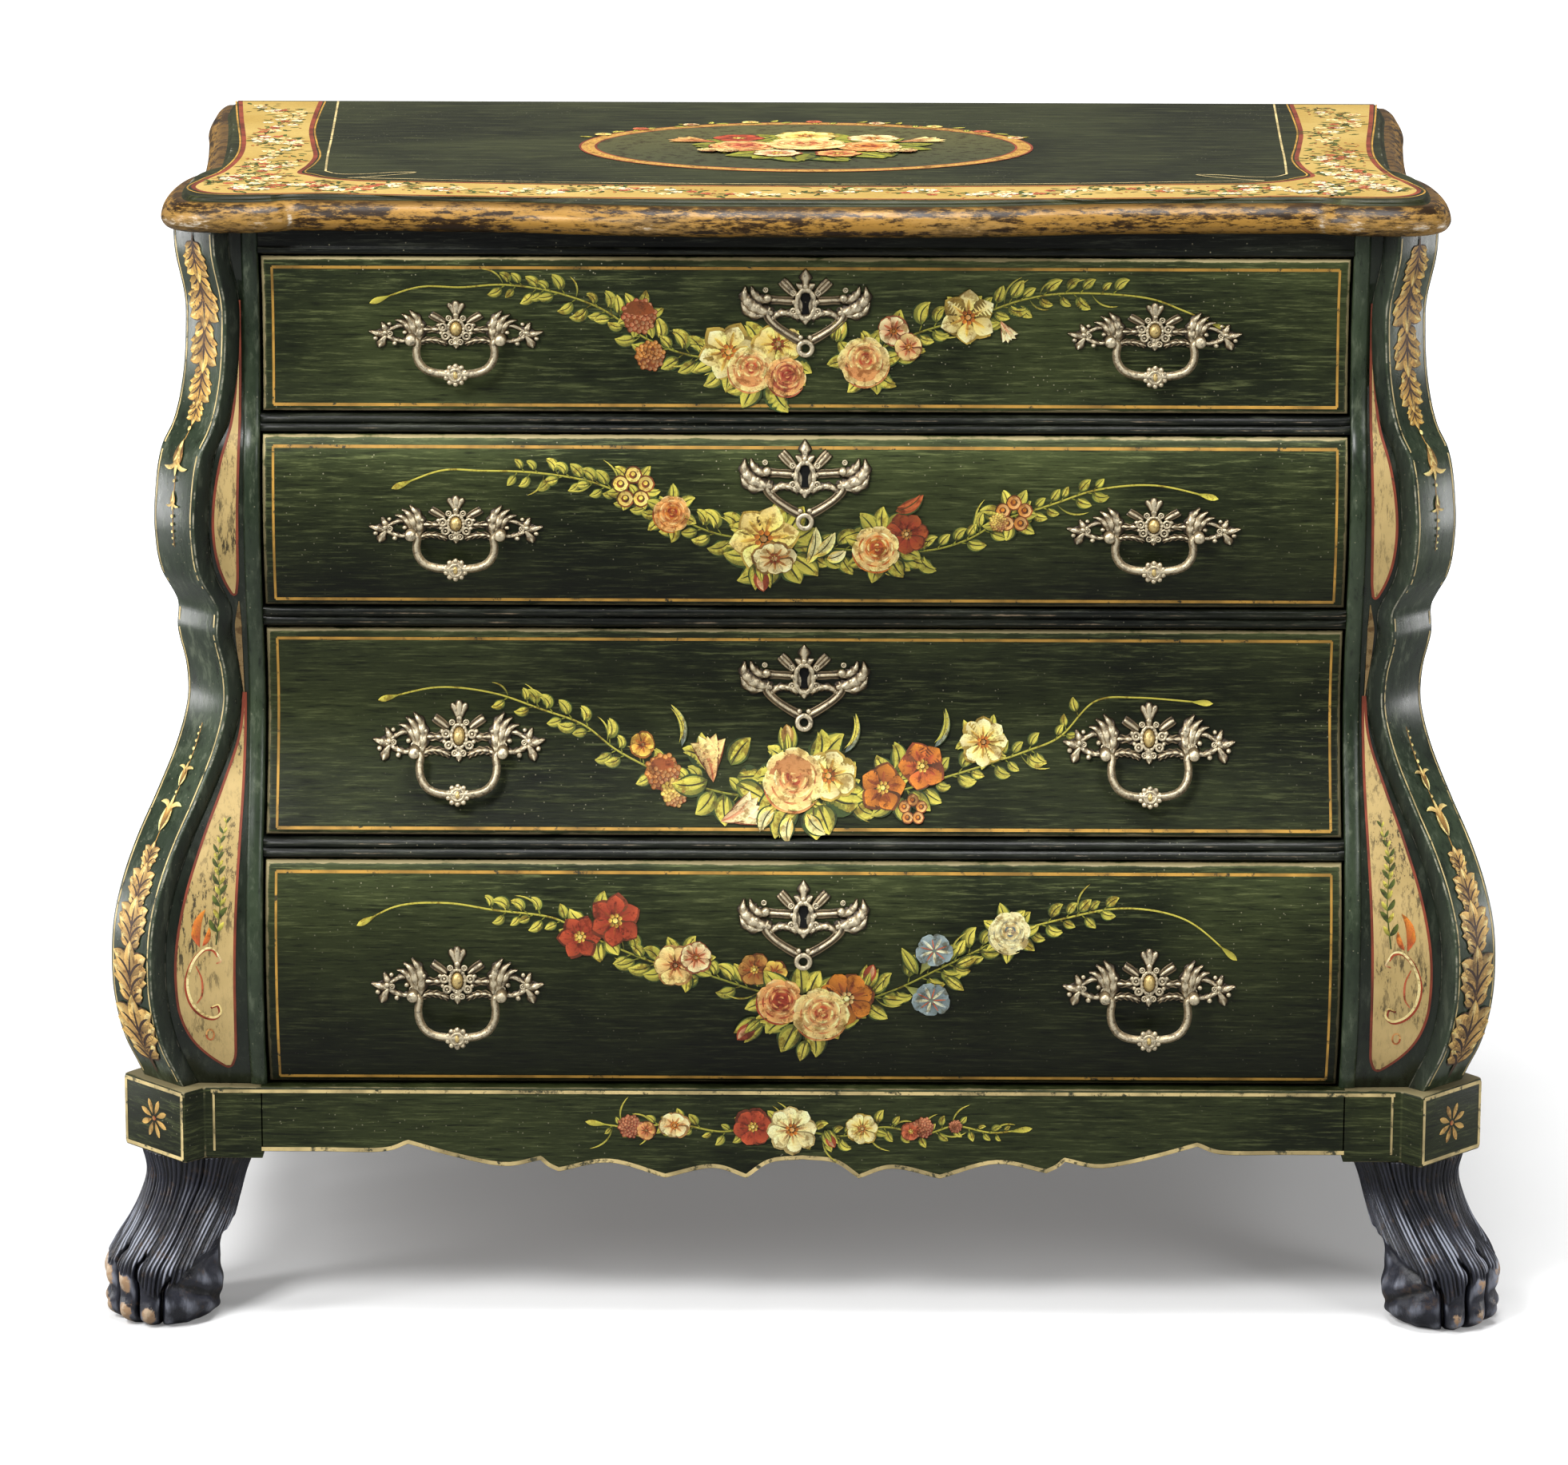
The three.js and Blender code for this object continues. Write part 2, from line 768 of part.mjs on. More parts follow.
function drawerBox(row) {
  const seat = railTops[row] + jointGap;
  const top = frontBottoms[row] + drawerFrontHeights[row] - boxHeadroom;
  const start = frontBack(row) + jointGap;
  const outer = openingHalf - boxSideClearance;
  const inner = outer - boxWall;
  const floor = seat + boxBottomRaise;
  return {
    left_side: box(-outer, -inner, start, boxEnd, seat, top),
    right_side: box(inner, outer, start, boxEnd, seat, top),
    back: box(jointGap - inner, inner - jointGap, boxEnd - boxWall, boxEnd, seat, top),
    bottom: box(
      jointGap - inner,
      inner - jointGap,
      start,
      boxEnd - boxWall - jointGap,
      floor,
      floor + boxBottomThickness,
    ),
  };
}

// Mounts on a drawer front

function keyholeZ(row) {
  return frontBottoms[row] + drawerFrontHeights[row] - keyholeDrops[row];
}

function pullZ(row) {
  return frontBottoms[row] + drawerFrontHeights[row] - pullDrops[row];
}

function keyholeOutline() {
  const top = keyholeHeight / 2;
  const wide = keyholeWidth / 2;
  const waist = keyholeWaist / 2;
  const path = new THREE.Path();
  path.moveTo(0, top);
  path.quadraticCurveTo(-wide, top, -wide, top - wide);
  path.quadraticCurveTo(-wide, 0, -waist, -waist / 2);
  path.lineTo(-wide, -top);
  path.lineTo(wide, -top);
  path.lineTo(waist, -waist / 2);
  path.quadraticCurveTo(wide, 0, wide, top - wide);
  path.quadraticCurveTo(wide, top, 0, top);
  return path;
}

// A flat plate laid on the swelling front: cut into short steps, then bent so that its back follows
// the face and its thickness stands out from it. The face is a function of the height.
function warped(shape, centreZ, centreX, faceAt, thickness = plateThickness) {
  const flat = positionsOnly(new THREE.ExtrudeGeometry(shape, { depth: thickness, bevelEnabled: false }));
  flat.scale(plateSqueezeShare, 1, plateSqueezeShare);
  const cut = new TessellateModifier(plateBendStep, plateCutPasses).modify(flat);
  cut.scale(1 / plateSqueezeShare, 1, 1 / plateSqueezeShare);
  const place = cut.getAttribute("position");
  for (let i = 0; i < place.count; i++) {
    const z = centreZ + place.getY(i);
    const out = faceAt(z) + place.getZ(i);
    place.setXYZ(i, centreX + place.getX(i), -out, z);
  }
  return cut;
}

function sharedOutline(upper, lower, halfWidth, rise, fall) {
  const scaled = [
    ...upper.map(([x, y]) => [x * halfWidth, y * (y > 0 ? rise : fall)]),
    ...lower.map(([x, y]) => [x * halfWidth, y * fall]),
  ];
  const left = scaled.slice(1, -1).map(([x, y]) => [-x, y]).reverse();
  return [...scaled, ...left].map(([x, y]) => new THREE.Vector2(x, y)).reverse();
}

function sharedHole(shares, halfWidth, fall, side) {
  return new THREE.Path(shares.map(([x, y]) => new THREE.Vector2(side * x * halfWidth, y * fall)));
}

function bailPivot(row, side) {
  const z = pullZ(row) - pivotDrops[row];
  return new THREE.Vector3(side * pullOffset, -swellAt(z) - pivotStandoff, z);
}

// The place of a flat seat of some half height that just clears the swelling front behind it
function seatBehind(z, halfHeight) {
  return -Math.max(swellAt(z - halfHeight), swellAt(z), swellAt(z + halfHeight)) - jointGap;
}

function pullPlate(row, side) {
  const shape = new THREE.Shape(
    sharedOutline(plateShares, plateLowerShares, plateHalfWidth, plateRises[row], plateFalls[row]),
  );
  for (const wing of [-1, 1]) {
    for (const hole of plateHoleShares) {
      shape.holes.push(sharedHole(hole, plateHalfWidth, plateFalls[row], wing));
    }
  }
  const centreX = side * pullOffset;
  const centreZ = pullZ(row);
  const plate = warped(shape, centreZ, centreX, (z) => swellAt(z) + jointGap);
  const boss = dome(bossSides)
    .scale(bossWidth / 2, bossProud, bossHeight / 2)
    .translate(centreX, seatBehind(centreZ, bossHeight / 2), centreZ);
  const pivot = bailPivot(row, side);
  const posts = [-1, 1].map((end) => {
    const front = pivot.y - postRadius;
    const length = seatBehind(pivot.z, postRadius) - front;
    return new THREE.CylinderGeometry(postRadius, postRadius, length, roundSides)
      .rotateY(Math.PI / roundSides)
      .translate(pivot.x + (end * postSpacing) / 2, front + length / 2, pivot.z);
  });
  const boreRadius = (bailRadius + jointGap) / Math.cos(Math.PI / roundSides);
  const boreLength = postSpacing + 2 * (postRadius + cutOverrun);
  const bore = new THREE.CylinderGeometry(boreRadius, boreRadius, boreLength, roundSides)
    .rotateZ(Math.PI / 2)
    .translate(pivot.x, pivot.y, pivot.z);
  return joined([plate, boss, ...posts], [bore]);
}

// Half a ball of radius one on a flat back, standing out to the front
function dome(roundFaces) {
  const quarter = domeShares.map((share) => (share * Math.PI) / 2);
  const profile = quarter.map((angle) => new THREE.Vector2(Math.cos(angle), Math.sin(angle)));
  const closed = [new THREE.Vector2(0, 0), ...profile.slice(0, -1), new THREE.Vector2(0, 1)];
  return new THREE.LatheGeometry(closed, roundFaces).rotateX(Math.PI);
}

// A bail about its own pivot: pins that turn in the posts, swelling arms and a shell at the bottom
function bail(row) {
  const bailDrop = bailDrops[row];
  const pinEnd = postSpacing / 2 + postRadius / 2;
  const arm = postSpacing / 2 - bailArmInset;
  const half = [
    [pinEnd, 0],
    ...bailPinShares.map(([out, fall]) => [arm + out * bailRadius, -fall * bailRadius]),
    ...bailArmShares.map(([out, fall]) => [out * arm, -fall * bailDrop]),
  ];
  const whole = [...half, ...half.map(([x, z]) => [-x, z]).reverse()];
  const path = whole.map(([x, z]) => new THREE.Vector2(x, z));
  const rings = path.map((point, i) => {
    const before = path[Math.max(i - 1, 0)];
    const after = path[Math.min(i + 1, path.length - 1)];
    const along = after.clone().sub(before).normalize();
    return Array.from({ length: roundSides }, (_, k) => {
      const angle = ((k + 0.5) * 2 * Math.PI) / roundSides;
      const across = bailRadius * Math.cos(angle);
      const x = point.x - along.y * across;
      const z = point.y + along.x * across;
      return new THREE.Vector3(x, bailRadius * Math.sin(angle), z);
    });
  });
  const shell = new THREE.SphereGeometry(1, bossSides, bossSides / 2)
    .scale(shellWidth / 2, shellThickness / 2, shellHeight / 2)
    .translate(0, 0, -bailDrop);
  return joined([loft(rings, (p) => new THREE.Vector2(p.y, p.z)), shell]);
}

// How far a bail leans out from the plumb line because the front below it swells out
function bailLean(row) {
  const z = pullZ(row) - pivotDrops[row];
  const swellOut = swellAt(z - bailDrops[row]) - swellAt(z);
  return Math.max(0, Math.atan2(swellOut, bailDrops[row]));
}

function escutcheon(row) {
  const shape = new THREE.Shape(
    sharedOutline(
      escutcheonShares,
      escutcheonLowerShares,
      escutcheonHalfWidth,
      escutcheonRise,
      escutcheonFall,
    ),
  );
  for (const wing of [-1, 1]) {
    for (const hole of escutcheonHoleShares) {
      shape.holes.push(sharedHole(hole, escutcheonHalfWidth, escutcheonFall, wing));
    }
  }
  const lens = escutcheonLensShares.map(([x, y]) => [x * escutcheonHalfWidth, y * escutcheonFall]);
  const lensLeft = lens.slice(1, -1).map(([x, y]) => [-x, y]).reverse();
  shape.holes.push(new THREE.Path([...lens, ...lensLeft].map(([x, y]) => new THREE.Vector2(x, y))));
  shape.holes.push(new THREE.Path(keyholeOutline().getPoints(keyholeSteps)));
  const ring = new THREE.Path();
  ring.absarc(0, escutcheonRingCentreShare * escutcheonFall, escutcheonRingHole, 0, 2 * Math.PI, false);
  shape.holes.push(new THREE.Path(ring.getPoints(bossSides / 2).slice(0, -1)));
  return warped(shape, keyholeZ(row), 0, (z) => swellAt(z) + jointGap);
}

function lockBody(row) {
  const back = frontBack(row) + jointGap;
  const block = (width, height, depth) =>
    new THREE.BoxGeometry(width, depth, height).translate(0, back + depth / 2, keyholeZ(row));
  return joined([
    block(lockPlateWidth, lockPlateHeight, lockPlateThickness),
    block(lockCaseWidth, lockCaseHeight, lockCaseDepth),
  ]);
}

// The assembly

function piece(name, geometry, look) {
  const shown = positionsOnly(geometry);
  shown.computeVertexNormals();
  const mesh = new THREE.Mesh(shown, new THREE.MeshStandardMaterial(look));
  mesh.name = name;
  return mesh;
}

const sides = { left: -1, right: 1 };

function carcass() {
  const group = new THREE.Group();
  group.add(piece("top_board", topBoard(), topPaint));
  group.add(piece("back_panel", backPanel(), bareWood));
  group.add(piece("carcass_bottom", carcassBottom(), bareWood));
  group.add(piece("top_rail", topRail(), blackGreenPaint));
  group.add(piece("plinth", plinth(), blackGreenPaint));
  railHeights.forEach((_, row) => {
    const number = railHeights.length - row;
    group.add(piece(`divider_${number}`, divider(row), blackGreenPaint));
  });
  for (const [name, side] of Object.entries(sides)) {
    group.add(piece(`${name}_side_panel`, sidePanel(side), bodyPaint));
    group.add(piece(`${name}_corner_post`, cornerPost(side), creamPaint));
    const ankle = new THREE.Vector2(side * ankleCentreX, ankleFrontY());
    const diagonal = new THREE.Vector2(side, -1).normalize();
    group.add(piece(`front_${name}_foot`, pawFoot(ankle, diagonal), footPaint));
    const rearAnkle = new THREE.Vector2(side * rearAnkleX, rearAnkleY);
    group.add(piece(`rear_${name}_foot`, pawFoot(rearAnkle, new THREE.Vector2(side, 0)), footPaint));
  }
  return group;
}

// The front ankle stands on the diagonal through the middle of the block's canted face
function ankleFrontY() {
  const faceX = blockStart + blockReturn + blockSpan / 2;
  const faceY = apronFront - blockReturn + blockSpan / 2;
  return faceY + (faceX - ankleCentreX);
}

function drawer(row) {
  const number = drawerFrontHeights.length - row;
  const group = new THREE.Group();
  group.add(piece(`drawer_${number}_front`, drawerFront(row), bodyPaint));
  for (const [name, geometry] of Object.entries(drawerBox(row))) {
    group.add(piece(`drawer_${number}_${name}`, geometry, bareWood));
  }
  group.add(piece(`drawer_${number}_escutcheon`, escutcheon(row), agedBrass));
  group.add(piece(`drawer_${number}_lock`, lockBody(row), lockSteel));
  for (const [name, side] of Object.entries(sides)) {
    group.add(piece(`drawer_${number}_${name}_pull_plate`, pullPlate(row, side), agedBrass));
    const hanging = piece(`drawer_${number}_${name}_bail`, bail(row), agedBrass);
    hanging.position.copy(bailPivot(row, side));
    hanging.rotation.x = -bailLean(row);
    group.add(hanging);
  }
  return group;
}

const chest = new THREE.Group();
chest.add(carcass());
drawerFrontHeights.forEach((_, row) => chest.add(drawer(row)));

// The part's origin is the middle of its footprint, on the floor
chest.updateMatrixWorld(true);
const extent = new THREE.Box3().setFromObject(chest);
const middle = extent.getCenter(new THREE.Vector3());
chest.position.set(-middle.x, -middle.y, -extent.min.z);
const group = new THREE.Group();
group.add(chest);

export default group;
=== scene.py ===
"""The looks of a painted bombe chest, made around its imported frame.

Shapes are worked out in millimetres, in the frame of the case: X to the viewer's right, Y to the back from
the narrowest line of the case front, Z up from the floor. placed() turns them into metres."""

import math
from functools import partialmethod

import bmesh
import bpy
import numpy as np
from mathutils import Matrix, Vector


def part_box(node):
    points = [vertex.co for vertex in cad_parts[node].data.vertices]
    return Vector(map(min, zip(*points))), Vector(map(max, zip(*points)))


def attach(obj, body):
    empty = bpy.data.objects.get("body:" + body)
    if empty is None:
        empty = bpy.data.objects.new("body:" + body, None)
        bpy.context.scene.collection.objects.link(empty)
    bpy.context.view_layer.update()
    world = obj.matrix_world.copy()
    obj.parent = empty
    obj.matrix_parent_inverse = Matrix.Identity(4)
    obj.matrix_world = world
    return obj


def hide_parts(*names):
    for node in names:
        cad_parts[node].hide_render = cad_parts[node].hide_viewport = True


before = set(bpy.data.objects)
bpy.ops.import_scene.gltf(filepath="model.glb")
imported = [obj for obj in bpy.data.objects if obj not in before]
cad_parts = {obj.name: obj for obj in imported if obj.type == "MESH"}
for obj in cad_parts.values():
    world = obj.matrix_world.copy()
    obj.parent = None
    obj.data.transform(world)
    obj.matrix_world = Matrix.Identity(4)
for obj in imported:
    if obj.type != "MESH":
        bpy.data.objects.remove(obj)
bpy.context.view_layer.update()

# Main measures of the case, in millimetres

MM = 0.001
CASE_DEPTH = 507
FRONT_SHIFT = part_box("back_panel")[1].y / MM - CASE_DEPTH
GAP = 0.3
PLINTH_TOP = 180
CASE_TOP = 814
OVERALL_HEIGHT = 840
FOOT_TOP = 125
OPENING_HALF = 397
BEAD_WIDTH = 12
BEAD_PROUD = 2.6
TRUSS_START = 411
TRUSS_RETURN = 9.97
TRUSS_SPAN = 32.8
CASE_HALF = TRUSS_START + TRUSS_SPAN
POST_DEPTH = 60
SIDE_THICKNESS = 18
FRONT_EDGE = 4
DRAWERS = (1, 2, 3, 4)
SIDES = {"left": -1, "right": 1}
QUARTER_TURN = ((0, -1), (1, 0))

BELLY_SWELL = 57.5
SHOULDER_SWELL = 23.3
BELLY_SHARES = ((0, 0.655), (0.016, 0.72), (0.05, 0.86), (0.095, 0.965), (0.134, 1), (0.197, 0.969),
                (0.248, 0.843), (0.292, 0.671), (0.338, 0.445), (0.398, 0.181), (0.445, 0.061), (0.483, 0.07))
SHOULDER_SHARES = ((0.536, 0.42), (0.572, 0.63), (0.601, 0.83), (0.648, 1), (0.686, 0.985), (0.748, 0.738),
                   (0.773, 0.42), (0.822, 0.124), (0.891, 0), (0.915, 0.013), (0.973, 0.275), (1, 0.31))
TRUSS_STEP_SHARES = ((0.53, 0.4), (0.561, 0.38), (0.573, 0.5))


# Curves and placing

def smooth_curve(places, values):
    """A curve through values at increasing places: on each stretch a cubic whose slope at either end is the
    mean of the slopes of the straight lines on the two sides of that place."""
    places = np.asarray(places, float)
    values = np.asarray(values, float)
    if values.ndim == 1:
        values = values[:, None]
    secants = np.diff(values, axis=0) / np.diff(places)[:, None]
    slopes = np.vstack([secants[:1], (secants[1:] + secants[:-1]) / 2, secants[-1:]])

    def at(where):
        where = np.asarray(where, float)
        i = np.clip(np.searchsorted(places, where, side="right") - 1, 0, len(places) - 2)
        span = (places[i + 1] - places[i])[..., None]
        p = (where[..., None] - places[i][..., None]) / span
        curve = (values[i] * (2 * p**3 - 3 * p**2 + 1) + span * slopes[i] * (p**3 - 2 * p**2 + p)
                 + values[i + 1] * (3 * p**2 - 2 * p**3) + span * slopes[i + 1] * (p**3 - p**2))
        return curve[..., 0] if curve.shape[-1] == 1 else curve

    return at


def smooth_path(points, count):
    """Points spaced evenly by number along a smooth curve through a few given ones."""
    curve = smooth_curve(np.arange(len(points)), points)
    return curve(np.linspace(0, len(points) - 1, count))


def unit(vectors):
    return vectors / (np.linalg.norm(vectors, axis=-1, keepdims=True) + 1e-9)


def beside(path):
    """Unit vectors at right angles to a flat path, on the right of its direction."""
    return unit(np.gradient(path, axis=-2)) @ QUARTER_TURN


def swept(path, half, across):
    """A grid: each point of a flat path moved aside by its half width times each share across."""
    return path[..., None, :] + beside(path)[..., None, :] * (half[..., None] * np.asarray(across))[..., None]


def turned(angle):
    """Unit vectors for angles in degrees, from the first axis towards the second."""
    angle = np.radians(angle)
    return np.stack([np.cos(angle), np.sin(angle)], axis=-1)


def evenly(count, start=0):
    """Angles in degrees spread evenly round a circle."""
    return start + np.arange(count) * 360 / count


def mixed(first, second, share):
    share = np.asarray(share, float)[..., None]
    return np.asarray(first, float) * (1 - share) + np.asarray(second, float) * share


def hump(offset, width):
    """One where the offset is zero, falling off to both sides within about the width."""
    return np.exp(-(offset / width) ** 2)


def past(offset, width):
    """Zero well below an offset of zero, one well above it, and smooth between."""
    return 1 / (1 + np.exp(-offset / width))


def grey(values):
    """One value for red, green and blue."""
    return np.repeat(np.asarray(values, float)[..., None], 3, axis=-1)


def swell_curve(upper_shares):
    """How far the case stands out, from the share of the case height and the share of each swelling."""
    height = CASE_TOP - PLINTH_TOP
    places = [PLINTH_TOP + rise * height for rise, _ in (*BELLY_SHARES, *upper_shares)]
    values = [share * BELLY_SWELL for _, share in BELLY_SHARES]
    values += [share * SHOULDER_SWELL for _, share in upper_shares]
    return smooth_curve(places, values)


swell = swell_curve(SHOULDER_SHARES)
truss_swell = swell_curve((*TRUSS_STEP_SHARES, *SHOULDER_SHARES[2:]))


def placed(points):
    """Millimetres in the frame of the case to metres in the frame of the part."""
    return (np.asarray(points, float) + (0, FRONT_SHIFT, 0)) * MM


def stacked(*parts):
    """Arrays that fit each other, one for each coordinate, as one array of points."""
    return np.stack(np.broadcast_arrays(*parts), axis=-1)


def drawer_span(number):
    """Lowest and highest height of a drawer front, in millimetres."""
    low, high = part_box(f"drawer_{number}_front")
    return low.z / MM, high.z / MM


# Meshes

class Shell:
    """Gathers grids of points into one mesh, with a colour and a wear value for each point."""

    def __init__(self):
        self.points, self.tints, self.wears = [], [], []
        self.faces, self.slots = [], []
        self.count = 0

    def grid(self, points, tint=(1, 1, 1), wear=0, around=False, caps=False, slot=0):
        """Faces between the rows and columns of a grid (rows, columns, 3). Around joins the last column
        to the first, and caps fill the first and last rows. A stack of grids, as one array with a leading
        axis, has no caps."""
        points = np.asarray(points, float)
        many = points[None] if points.ndim == 3 else points
        copies, rows, columns = many.shape[:3]
        index = np.arange(rows * columns).reshape(rows, columns)
        if around:
            index = np.hstack([index, index[:, :1]])
        quads = np.stack([index[:-1, :-1], index[:-1, 1:], index[1:, 1:], index[1:, :-1]], -1).reshape(-1, 4)
        offsets = self.count + np.arange(copies)[:, None, None] * rows * columns
        faces = (quads[None] + offsets).reshape(-1, 4).tolist()
        if caps:
            faces.append((self.count + index[0, :columns][::-1]).tolist())
            faces.append((self.count + index[-1, :columns]).tolist())
        self.faces += faces
        self.slots += [slot] * len(faces)
        self.points.append(many.reshape(-1, 3))
        total = copies * rows * columns
        self.tints.append(np.broadcast_to(tint, many.shape[:3] + (3,)).reshape(total, 3))
        self.wears.append(np.broadcast_to(wear, many.shape[:3]).reshape(total))
        self.count += total

    def block(self, low, high, slot=0):
        """A plain box between two corners."""
        (x0, y0, z0), (x1, y1, z1) = low, high
        ring = np.array([(x0, y0), (x1, y0), (x1, y1), (x0, y1)], float)
        rows = [np.c_[ring, np.full(4, z)] for z in (z0, z1)]
        self.grid(np.array(rows), around=True, caps=True, slot=slot)

    def made(self, name, materials, node=None, body="carcass", slot="case_paint", sharp=None, closed=True):
        """The object of all the grids, riding on a body in the place of a CAD node. Closed ones get their
        faces turned outward."""
        mesh = bpy.data.meshes.new(name)
        mesh.from_pydata(placed(np.vstack(self.points)).tolist(), [], self.faces)
        for material in materials:
            mesh.materials.append(material)
        mesh.polygons.foreach_set("material_index", np.array(self.slots, np.int32))
        mesh.polygons.foreach_set("use_smooth", np.ones(len(self.faces), bool))
        tint = mesh.attributes.new("tint", "FLOAT_COLOR", "POINT")
        tints = np.vstack(self.tints)
        tint.data.foreach_set("color", np.c_[tints, np.ones(len(tints))].astype(np.float32).ravel())
        wear = mesh.attributes.new("wear", "FLOAT", "POINT")
        wear.data.foreach_set("value", np.concatenate(self.wears).astype(np.float32))
        if sharp is not None:
            mesh.set_sharp_from_angle(angle=math.radians(sharp))
        if closed:
            solid = bmesh.new()
            solid.from_mesh(mesh)
            bmesh.ops.recalc_face_normals(solid, faces=solid.faces)
            solid.to_mesh(mesh)
            solid.free()
        mesh.update()
        piece = bpy.data.objects.new(name, mesh)
        bpy.context.scene.collection.objects.link(piece)
        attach(piece, body)
        if node:
            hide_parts(node)
        return piece


def softened(corners, radii, steps=4):
    """Outlines (rows, corners, 2) with each corner cut to a short curve that starts and ends a radius away:
    a blend (1-t)^2 A + 2t(1-t) P + t^2 B about the corner P. Returns the outline points and, for each, one at
    the middle of a curve and zero on the straights."""
    t = np.linspace(0, 1, steps)[None, None, :, None]
    reach = np.asarray(radii, float)[None, :, None]
    start = (corners + unit(np.roll(corners, 1, axis=1) - corners) * reach)[:, :, None]
    end = (corners + unit(np.roll(corners, -1, axis=1) - corners) * reach)[:, :, None]
    middle = corners[:, :, None]
    curve = (1 - t) ** 2 * start + 2 * t * (1 - t) * middle + t**2 * end
    bent = np.sin(np.pi * t[..., 0]) * (np.asarray(radii, float) > 0)[None, :, None]
    rows, count = corners.shape[:2]
    return curve.reshape(rows, -1, 2), np.broadcast_to(bent, (rows, count, steps)).reshape(rows, -1)


# Shader sums

class Signal:
    """A shader socket that takes part in Python sums."""

    def __init__(self, finish, socket):
        self.finish = finish
        self.socket = socket

    def _sum(self, operation, other):
        return self.finish.node("ShaderNodeMath", {"operation": operation}, {0: self, 1: other})

    def __rsub__(self, other):
        return self.finish.node("ShaderNodeMath", {"operation": "SUBTRACT"}, {0: other, 1: self})

    __add__ = __radd__ = partialmethod(_sum, "ADD")
    __sub__ = partialmethod(_sum, "SUBTRACT")
    __mul__ = __rmul__ = partialmethod(_sum, "MULTIPLY")

    def step(self, low, high):
        """Zero below low, one above high and smooth between, or the other way round."""
        values = {0: self, 1: low, 2: high, 3: 0, 4: 1}
        return self.finish.node("ShaderNodeMapRange", {"interpolation_type": "SMOOTHSTEP"}, values)


class Finish:
    """A material whose nodes are added by expressions."""

    def __init__(self, name):
        self.material = bpy.data.materials.new(name)
        self.material.use_nodes = True
        self.tree = self.material.node_tree
        self.tree.nodes.clear()
        self.shader = self.tree.nodes.new("ShaderNodeBsdfPrincipled")
        output = self.tree.nodes.new("ShaderNodeOutputMaterial")
        self.tree.links.new(self.shader.outputs[0], output.inputs[0])
        self.place = self.node("ShaderNodeTexCoord", output="Object")

    def node(self, kind, settings=None, values=None, output=0):
        """A node with its settings set first, then its sockets, as a signal of one of its outputs."""
        made = self.tree.nodes.new(kind)
        for key, value in (settings or {}).items():
            setattr(made, key, value)
        for key, value in (values or {}).items():
            self.feed(made.inputs[key], value)
        return Signal(self, made.outputs[output])

    def feed(self, socket, value):
        if isinstance(value, Signal):
            self.tree.links.new(value.socket, socket)
        elif socket.type == "RGBA" and len(value) == 3:
            socket.default_value = (*value, 1)
        else:
            socket.default_value = value

    def attribute(self, name, output="Fac"):
        return self.node("ShaderNodeAttribute", {"attribute_name": name}, output=output)

    def stretched(self, scale):
        return self.node("ShaderNodeMapping", None, {"Vector": self.place, "Scale": scale})

    def noise(self, scale, detail=4, roughness=0.55, stretch=None, distortion=0):
        """Cloudy noise. Scale is in cells per metre, and stretch multiplies it along X, Y and Z."""
        where = self.stretched(stretch) if stretch else self.place
        values = {"Vector": where, "Scale": scale, "Detail": detail, "Roughness": roughness,
                  "Distortion": distortion}
        return self.node("ShaderNodeTexNoise", None, values)

    def cells(self, scale, feature="F1"):
        """Distances in a pattern of cells."""
        values = {"Vector": self.place, "Scale": scale}
        return self.node("ShaderNodeTexVoronoi", {"feature": feature}, values, "Distance")

    def mix(self, share, first, second, blend="MIX"):
        """Colours mixed by a share, from the first at zero to the second at one."""
        settings = {"data_type": "RGBA", "blend_type": blend}
        return self.node("ShaderNodeMix", settings, {0: share, 6: first, 7: second}, 2)

    def over(self, share, tone, blend="MIX"):
        """Lays a tone over the colour so far."""
        self.colour = self.mix(share, self.colour, tone, blend)

    def set(self, **values):
        for key, value in values.items():
            self.feed(self.shader.inputs[key.replace("_", " ")], value)

    def bump(self, height, depth_mm):
        values = {"Height": height, "Distance": depth_mm * MM, "Strength": 1}
        self.feed(self.shader.inputs["Normal"], self.node("ShaderNodeBump", None, values))

    def done(self, height, depth_mm, **values):
        """The material, with the colour so far, a bump and other values."""
        self.set(Base_Color=self.colour, **values)
        self.bump(height, depth_mm)
        return self.material


def rubbed_paint(name, dark, middle, light, worn, gloss=0.42, grain=(0.6, 1, 9), seen=0.3, sheen=0.22):
    """Old brushed paint: clouds of dark and middle tone, streaks of a light tone along the brush, dust
    specks, fine scratches and bare patches where the wear attribute or a rare cloud is high. The tint
    attribute multiplies the colour: it carries painted light and shade on the drawer fronts and painted
    shade beside the beads of the posts."""
    finish = Finish(name)
    clouds = finish.noise(5.5, 5, 0.6)
    streaks = finish.noise(38, 9, 0.76, grain)
    fine = finish.noise(230, 4, 0.7, tuple(0.3 * g for g in grain))
    finish.colour = finish.mix(clouds.step(0.36, 0.66), dark, middle)
    finish.over(streaks.step(0.5, 0.66) * seen, light)
    finish.over((fine + streaks).step(1.04, 1.24) * 0.5, light)
    finish.over((fine + streaks).step(0.96, 0.78) * 0.7, tuple(0.35 * c for c in dark))
    specks = finish.cells(190).step(0.13, 0.06) * finish.noise(9).step(0.46, 0.6)
    finish.over(specks * 0.6, (0.3, 0.28, 0.18))
    chips = finish.noise(90, 4, 0.7, (0.35, 0.35, 1))
    edge = finish.attribute("wear")
    bare = (edge * 1.15 + chips * 0.9).step(1.3, 1.46)
    finish.over(bare, worn)
    rub = (edge * 0.8 + chips * 0.5).step(0.62, 1.05)
    finish.over(rub * 0.35, light)
    # Painted light and shade carried by the tint attribute
    finish.over(1, finish.attribute("tint", "Color"), "MULTIPLY")
    return finish.done(streaks * 0.5 + fine * 0.3 - bare * 0.8, 0.35, Specular_IOR_Level=sheen,
                       Roughness=gloss + 0.2 * fine - 0.1 * streaks)


